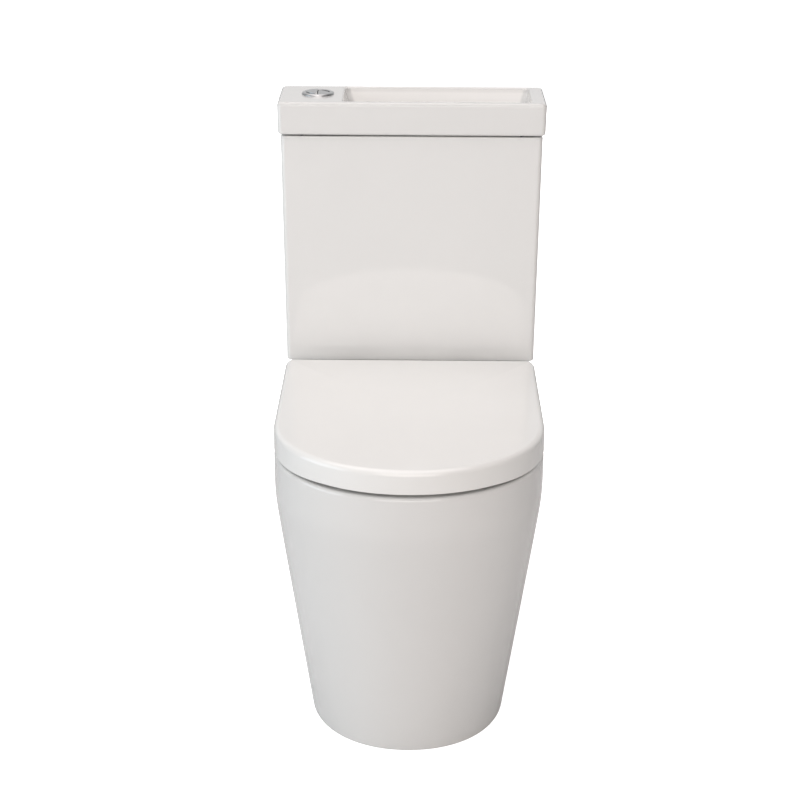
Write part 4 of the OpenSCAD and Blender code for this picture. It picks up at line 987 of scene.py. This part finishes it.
class TOILET_OT_seat(bpy.types.Operator):
    """Presses the seat lid and the seat ring with their hinge knuckles"""

    bl_idname = "toilet.seat"
    bl_label = "Seat lid and ring"

    def execute(self, context):
        s = context.scene.toilet_seat
        form = SeatForm(s, WALL_Y - context.scene.toilet_pan.bowl_from_wall)
        axis = node_middle("hinge_pins")
        middle = half_pitch("hinge_posts")
        post_reach = 0.0095  # from the post's middle to the knuckles on both sides of it
        outer_x, inner_x = middle + post_reach, middle - post_reach - s.knuckle_length
        under = s.top_z - s.wall
        web_half, notch_half, clear, soft = 0.0085, 0.013, 0.0005, 0.001

        lid = wear(loft("seat_lid_shell", form.lid()), "seat_gloss")
        steps = []
        for side in (-1, 1):
            steps += [("+", self.knuckle(s, side, outer_x, axis)),
                      ("+", block(sided(side, outer_x, outer_x + s.knuckle_length),
                                  (axis.y - web_half, axis.y + web_half), (axis.z, under + PAST), soft))]
        for side in (-1, 1):
            steps += [("-", self.pin_bore(s, side, outer_x, axis)),
                      ("-", block(sided(side, middle - notch_half, middle + notch_half),
                                  (axis.y + s.knuckle + clear, WALL_Y), (s.low_z - PAST, under + 0.0008),
                                  soft))]
        close_skin(combine(lid, steps))
        stand_for(lid, "seat_lid")

        ring = wear(loft("seat_ring_body", form.ring(), closed=True), "seat_gloss")
        steps = []
        arm_y = WALL_Y - s.ring_from_wall - form.corner
        arm_z = (axis.z - s.knuckle + clear, s.ring_z + s.ring_height - 0.003)
        for side in (-1, 1):
            steps += [("+", self.knuckle(s, side, inner_x, axis)),
                      ("+", block(sided(side, inner_x, inner_x + s.knuckle_length), (arm_y, axis.y),
                                  arm_z, soft)),
                      ("-", self.pin_bore(s, side, inner_x, axis))]
        close_skin(combine(ring, steps))
        stand_for(ring, "seat_ring")
        return {"FINISHED"}

    @staticmethod
    def knuckle(s, side, x, axis):
        """Round hinge knuckle with softened ends."""
        return side_rod(side, x, axis.y, axis.z, s.knuckle, s.knuckle_length, chamfer=0.0006)

    @staticmethod
    def pin_bore(s, side, x, axis):
        bore = 0.00703  # 0.03 mm round the damper or the bush in it
        return side_rod(side, x, axis.y, axis.z, bore, s.knuckle_length + 2 * PAST, -PAST)


# ---- Cistern and basin ----

class TOILET_OT_cistern(bpy.types.Operator):
    """Casts the cistern body with its rounded edges and its holes"""

    bl_idname = "toilet.cistern"
    bl_label = "Cistern"

    def execute(self, context):
        s = context.scene.toilet_cistern
        low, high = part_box("cistern_body")
        middle_y = (low.y + high.y) / 2
        floor_z = s.low_z + s.floor
        lip, inner_lip, inner, least_corner = 0.002, 0.001, 0.008, 0.005

        def ring(z, inset=0.0, deep=None):
            half = (s.low_width + (s.top_width - s.low_width) * (z - s.low_z) / (s.top_z - s.low_z)) / 2
            return rect_ring(0, middle_y, half - inset, s.depth / 2 - (inset if deep is None else deep),
                             max(s.corner - inset, least_corner), z)

        outside = [ring(s.low_z + s.low_edge * grow, s.side_edge * fall, s.low_edge * fall)
                   for fall, grow in arc()]
        outside += [ring(z) for z in np.linspace(s.low_z + 0.02, s.top_z - 0.01, 12)]
        outside += [ring(s.top_z - lip * fall, lip * grow) for fall, grow in arc(steps=6)]
        outside += [ring(s.top_z - inner_lip * grow, s.wall - inner_lip * fall)
                    for fall, grow in arc(steps=4)]
        inside = [ring(z, s.wall) for z in (s.top_z - 0.03, floor_z + 1.5 * inner)]
        inside += [ring(floor_z + inner * fall, s.wall + inner * grow) for fall, grow in arc(0, 80)]
        kinds = [BARE] * 3 + [GLAZED] * (len(outside) - 4) + [BARE] * len(inside)
        body = wear(loft("cistern_ceramic", outside + inside, kinds), "glaze", "bisque")

        valve_hole, inlet_hole, bolt_hole, wall_hole = 0.0315, 0.0113, 0.0055, 0.004
        wall_hole_x, wall_hole_down = 0.100, 0.062
        service, supply = node_middle("flush_valve_body").y, node_middle("inlet_valve").x
        through = (s.floor + 2 * PAST, s.low_z - PAST)
        cuts = [rod(valve_hole, *through, 0.0, service, BARE)]
        for side in (-1, 1):
            cuts.append(rod(inlet_hole, *through, side * supply, service, BARE))
            cuts.append(rod(bolt_hole, *through, side * half_pitch("coupling_bolts"), service, BARE))
            cuts.append(turned(rod(wall_hole, s.wall + 2 * PAST, kind=BARE),
                               along_y(side * wall_hole_x, high.y - s.wall - PAST,
                                       s.top_z - wall_hole_down)))
        close_skin(combine(body, as_cuts(cuts)))
        stand_for(body, "cistern_body")
        return {"FINISHED"}


class TOILET_OT_basin(bpy.types.Operator):
    """Casts the basin cover: recess, rim, button deck and the tub that hangs in the cistern"""

    bl_idname = "toilet.basin"
    bl_label = "Basin cover"

    def execute(self, context):
        s = context.scene.toilet_basin
        height = s.top_z - s.low_z
        middle_y = WALL_Y - s.depth / 2
        x0, x1 = -s.recess_left, s.width / 2 - s.recess_right
        y0, y1 = WALL_Y - s.depth + s.recess_front, WALL_Y - s.recess_back
        floor_z = s.top_z - s.recess_depth
        tub_z = floor_z - s.wall - 0.003  # the tub's floor is thicker than its walls
        tub_round, low_edge, least_corner = 0.008, 0.004, 0.006
        lip, foot, foot_in = s.recess_edge, 0.010, 0.0095

        def cover(z, inset=0.0):
            narrow = s.flare * (s.top_z - z) / height
            return rect_ring(0, middle_y, s.width / 2 - narrow - inset, s.depth / 2 - inset,
                             max(s.corner - inset, least_corner), z)

        def recess(z, wider=0.0):
            lean = s.lean * (s.top_z - z) - wider
            return rect_ring((x0 + x1) / 2, (y0 + y1) / 2, (x1 - x0) / 2 - lean,
                             (y1 - y0) / 2 - lean, s.recess_corner, z)

        hidden = [recess(tub_z + tub_round * grow, s.wall - tub_round * fall)
                  for fall, grow in arc(steps=8)]
        hidden += [recess(z, s.wall) for z in np.linspace(tub_z + 1.5 * tub_round, s.low_z - 0.002, 4)]
        hidden += [recess(s.low_z, s.wall + 0.002)]
        visible = [cover(s.low_z + low_edge * grow, low_edge * fall) for fall, grow in arc(steps=8)]
        visible += [cover(s.top_z - s.edge * fall, s.edge * grow) for fall, grow in arc(steps=12)]
        visible += [recess(s.top_z - lip * grow, lip * fall) for fall, grow in arc()]
        visible += [recess(z) for z in np.linspace(s.top_z - lip - 0.004, floor_z + foot, 8)]
        visible += [recess(floor_z + foot * fall, -foot_in * grow) for fall, grow in arc(10, 90)]
        kinds = [BARE] * len(hidden) + [GLAZED] * (len(visible) - 1)
        basin = wear(loft("basin_ceramic", hidden + visible, kinds), "basin_glaze_painted_shade", "bisque")

        button, waste = node_middle("button_bezel"), node_middle("basin_waste")
        button_hole, waste_hole = 0.020, 0.0175
        wall, rib = 0.010, 0.013  # round the hollow under the button's deck, and beside the recess
        close_skin(combine(basin, as_cuts([
            block((wall - s.width / 2, -s.recess_left - rib), (WALL_Y - s.depth + wall, WALL_Y - wall),
                  (s.low_z - PAST, s.top_z - wall), r=0.004, kind=BARE),
            rod(button_hole, height + PAST, s.low_z, button.x, button.y),
            rod(waste_hole, s.recess_depth, tub_z - PAST, waste.x, waste.y),
        ])))
        stand_for(basin, "basin_cover")
        return {"FINISHED"}


# ---- Springs, and the finishes of the pieces that keep their CAD shape ----

class TOILET_OT_springs(bpy.types.Operator):
    """Winds the two button springs as smooth wire"""

    bl_idname = "toilet.springs"
    bl_label = "Button springs"

    def execute(self, context):
        for name in ("half", "full"):
            node = f"{name}_flush_spring"
            low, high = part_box(node)
            middle = (low + high) / 2
            wire, clear = 0.0005, 0.0003
            turns, steps, crowding = 6, 24, 0.055
            r = (high.x - low.x) / 2 - wire
            around = full_turn(10)
            rings = []
            for share in np.linspace(0, 1, steps * turns + 1):
                turn = 2 * pi * turns * share
                # the middle turns lie closer together than the end turns
                rise = share + crowding * sin(2 * pi * share)
                z = low.z + clear + wire + (high.z - low.z - clear - 2 * wire) * rise
                reach = r + wire * np.sin(around)
                rings.append(ring_of(middle.x + reach * cos(turn), middle.y + reach * sin(turn),
                                     z + wire * np.cos(around)))
            spring = wear(loft(f"{name}_flush_coil", rings), "spring_steel")
            close_skin(spring, 60.0)
            stand_for(spring, node)
            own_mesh(spring)
        return {"FINISHED"}


class TOILET_OT_fittings(bpy.types.Operator):
    """Gives every piece that keeps its CAD shape soft edges and its finish"""

    bl_idname = "toilet.fittings"
    bl_label = "Fittings"

    # finish, edge radius and the nodes that take them
    DRESS = (
        ("satin_chrome", 0.0004, ("button_bezel", "half_flush_button", "full_flush_button")),
        ("chrome", 0.0006, ("hinge_posts", "basin_waste")),
        ("steel", 0.0003, ("hinge_pins", "lever_pivot_pin", "bracket_screws")),
        ("hinge_bolt_steel", 0.0003, ("hinge_bolts",)),
        ("coupling_bolt_steel", 0.0005, ("coupling_bolts",)),
        ("white_plastic", 0.0006, ("hinge_wing_nuts", "coupling_wing_nuts", "floor_brackets",
                                   "screw_caps", "flush_canister", "half_flush_sleeve",
                                   "basin_waste_nut", "blanking_plug_nut", "inlet_backnut",
                                   "flush_valve_backnut", "button_locknut")),
        ("valve_plastic", 0.0006, ("flush_valve_body",)),
        ("inlet_plastic", 0.0005, ("inlet_valve", "blanking_plug")),
        ("grey_plastic", 0.0004, ("inlet_float", "lid_damper", "ring_damper", "lid_bush", "ring_bush")),
        ("blue_plastic", 0.0004, ("half_flush_lever", "full_flush_lever")),
        ("rubber", 0.0005, ("coupling_gasket", "coupling_washers", "hinge_washers", "inlet_washer",
                            "flush_valve_washer", "canister_seal", "basin_waste_gasket",
                            "cover_pads")),
        ("buffer_rubber", 0.0006, ("lid_buffers", "ring_buffers")),
    )

    def execute(self, context):
        for finish, edge, nodes in self.DRESS:
            for node in nodes:
                self.soften(wear(frame["nodes"][node], finish), edge)
        return {"FINISHED"}

    @staticmethod
    def soften(obj, edge):
        same_point = 1e-5
        obj.modifiers.new("weld", "WELD").merge_threshold = same_point
        bevel = obj.modifiers.new("soft_edges", "BEVEL")
        bevel.width = edge
        bevel.segments = 3
        bevel.limit_method = "ANGLE"
        bevel.angle_limit = radians(38)
        bevel.use_clamp_overlap = True
        bevel.harden_normals = False
        obj.modifiers.new("even_normals", "WEIGHTED_NORMAL").keep_sharp = True


class TOILET_OT_finishes(bpy.types.Operator):
    """Mixes the glaze, plastics, metals and rubber"""

    bl_idname = "toilet.finishes"
    bl_label = "Finishes"

    def execute(self, context):
        s = context.scene.toilet_finish
        tones = {name: tuple(getattr(s, name)) for name in FinishSettings.__annotations__}
        glaze("glaze", tones["glaze"])
        # painted shade: the pan takes the cistern's glaze, painted 5 % darker
        glaze("pan_glaze_painted_shade", shade(tones["glaze"], 0.95))
        # painted shade: the cistern's glaze, painted 2.5 % darker on the basin cover and darker still on
        # the rounded edges round its top
        glaze("basin_glaze_painted_shade", shade(tones["glaze"], 0.975), context.scene.toilet_basin.top_z)
        bisque("bisque", tones["bisque"])
        seat_gloss("seat_gloss", tones["seat"])
        plastic("white_plastic", tones["white"], 0.38)
        plastic("grey_plastic", tones["grey"], 0.34)
        plastic("blue_plastic", tones["blue"], 0.32)
        plastic("valve_plastic", tones["white"], 0.38,
                [self.thread("flush_valve_body", r=0.030, pitch=0.005, span=0.028)])
        plastic("inlet_plastic", tones["white"], 0.38,
                [self.thread("inlet_valve", r=0.0103, pitch=0.0018, span=0.025),
                 self.thread("blanking_plug", r=0.0103, pitch=0.0018, span=0.020)])
        metal("chrome", tones["chrome"], 0.05)
        metal("satin_chrome", shade(tones["chrome"], 0.64), 0.36)
        metal("steel", tones["steel"], 0.26, mottle=0.35)
        metal("spring_steel", tones["steel"], 0.20, mottle=0.1)
        for node in ("hinge_bolts", "coupling_bolts"):
            x, y, low = half_pitch(node), node_middle(node).y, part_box(node)[0].z
            r, span, pitch = 0.004, 0.030, 0.00125
            threads = [(side * x, y, r, low, low + span, pitch) for side in (-1, 1)]
            metal(f"{node[:-1]}_steel", tones["steel"], 0.26, threads, mottle=0.3)
        rubber("rubber", tones["rubber"])
        rubber("buffer_rubber", tones["buffer"])
        return {"FINISHED"}

    @staticmethod
    def thread(node, r, pitch, span):
        """Thread on the lower stretch of an upright node."""
        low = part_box(node)[0].z
        x = 0.0 if node == "flush_valve_body" else node_middle(node).x
        return x, node_middle("flush_valve_body").y, r, low, low + span, pitch


# ---- Studio ----

class TOILET_OT_stage(bpy.types.Operator):
    """Sets the pale floor, the soft lights and the camera"""

    bl_idname = "toilet.stage"
    bl_label = "Studio"

    # name, place, width, height, power and colour of each light, and the point that all face
    LIGHTS = (
        ("overhead", (-0.3, -0.2, 3.2), 3.6, 3.0, 65.0, (1.0, 0.945, 0.93)),
        ("front", (0.0, -7.0, 2.8), 6.0, 4.4, 256.0, (1.0, 0.925, 0.885)),
        ("side", (-2.8, -0.9, 0.9), 2.4, 2.0, 28.0, (0.79, 0.92, 1.0)),
        ("rear", (0.8, 4.2, 0.55), 5.0, 1.0, 42.0, (1.0, 0.98, 0.96)),
    )
    TARGET = Vector((0.0, 0.0, 0.4))

    def execute(self, context):
        s = context.scene.toilet_stage
        scene = context.scene
        scene.view_settings.view_transform = "Standard"
        scene.view_settings.look = "None"
        self.add_floor(s)
        for name, place, width, height, power, tone in self.LIGHTS:
            light = bpy.data.lights.new(name, "AREA")
            light.shape = "RECTANGLE"
            light.size, light.size_y = width, height
            light.energy = power
            light.color = tone
            lamp = add_object(name, light)
            lamp.visible_glossy = name != "rear"  # it fills the back, and edges don't mirror it
            lamp.location = place
            lamp.rotation_euler = (self.TARGET - Vector(place)).to_track_quat("-Z", "Y").to_euler()
        self.add_surround(scene, s)
        self.add_camera(scene, s)
        return {"FINISHED"}

    def add_floor(self, s):
        reach = 30.0
        mesh = bpy.data.meshes.new("floor")
        mesh.from_pydata([(-reach, -reach, 0), (reach, -reach, 0), (reach, reach, 0), (-reach, reach, 0)],
                         [], [(0, 1, 2, 3)])
        floor = add_object("studio_floor", mesh)
        finish = Finish("studio_white", {"Specular IOR Level": 0.0, "Roughness": 1.0,
                                         "Emission Strength": s.floor_glow})
        tone = (s.floor_tone,) * 3
        finish.feed("Base Color", finish.blend(finish.noise(1.5), tone, 1.0, 0.99))
        finish.feed("Emission Color", finish.ray("Camera"))
        floor.data.materials.append(finish.material)

    def add_surround(self, scene, s):
        """White walls that light the object dimly, with a pale backdrop in its reflections."""
        world = bpy.data.worlds.new("studio")
        world.use_nodes = True
        graph = Graph(world.node_tree)
        depth = graph.part(graph.node("TexCoord", output="Generated"), "Y")
        behind = graph.rise(depth, 0.2, 0.9)
        seen = graph.ray("Camera")
        dim = s.surround + graph.ray("Glossy") * behind * s.backdrop
        connect(graph.tree, graph.tree.nodes["Background"].inputs["Color"], seen + (1.0 - seen) * dim)
        scene.world = world

    def add_camera(self, scene, s):
        """The camera's axes follow from its turn, tilt and roll."""
        turn, down = s.camera_left, s.camera_down
        right = Vector((cos(turn), sin(turn), 0))
        ahead = Vector((-sin(turn) * cos(down), cos(turn) * cos(down), -sin(down)))
        up = Vector((-sin(turn) * sin(down), cos(turn) * sin(down), cos(down)))
        lean = s.camera_roll
        camera = bpy.data.cameras.new("camera")
        camera.lens = s.lens
        camera.sensor_width = 36.0
        holder = add_object("camera", camera)
        axes = (cos(lean) * right + sin(lean) * up, cos(lean) * up - sin(lean) * right, -ahead)
        holder.matrix_world = Matrix.Translation(s.camera_place) @ Matrix(axes).transposed().to_4x4()
        scene.camera = holder


# ---- Add-on ----

OPERATORS = (TOILET_OT_finishes, TOILET_OT_pan, TOILET_OT_seat, TOILET_OT_cistern, TOILET_OT_basin,
             TOILET_OT_springs, TOILET_OT_fittings, TOILET_OT_stage)
SETTINGS = {"toilet_pan": PanSettings, "toilet_seat": SeatSettings, "toilet_cistern": CisternSettings,
            "toilet_basin": BasinSettings, "toilet_finish": FinishSettings, "toilet_stage": StageSettings}


class TOILET_PT_panel(bpy.types.Panel):
    """Lists the pieces of the toilet in the sidebar"""

    bl_idname = "TOILET_PT_panel"
    bl_label = "Toilet with basin"
    bl_space_type = "VIEW_3D"
    bl_region_type = "UI"
    bl_category = "Toilet"

    def draw(self, context):
        for operator in OPERATORS:
            self.layout.operator(operator.bl_idname)


def register():
    for settings in SETTINGS.values():
        bpy.utils.register_class(settings)
    for name, settings in SETTINGS.items():
        setattr(bpy.types.Scene, name, PointerProperty(type=settings))
    for kind in (*OPERATORS, TOILET_PT_panel):
        bpy.utils.register_class(kind)


def unregister():
    for kind in (TOILET_PT_panel, *reversed(OPERATORS)):
        bpy.utils.unregister_class(kind)
    for name, settings in reversed(SETTINGS.items()):
        delattr(bpy.types.Scene, name)
        bpy.utils.unregister_class(settings)


def main():
    register()
    for operator in OPERATORS:
        group, name = operator.bl_idname.split(".")
        getattr(getattr(bpy.ops, group), name)()


if __name__ == "__main__":
    main()
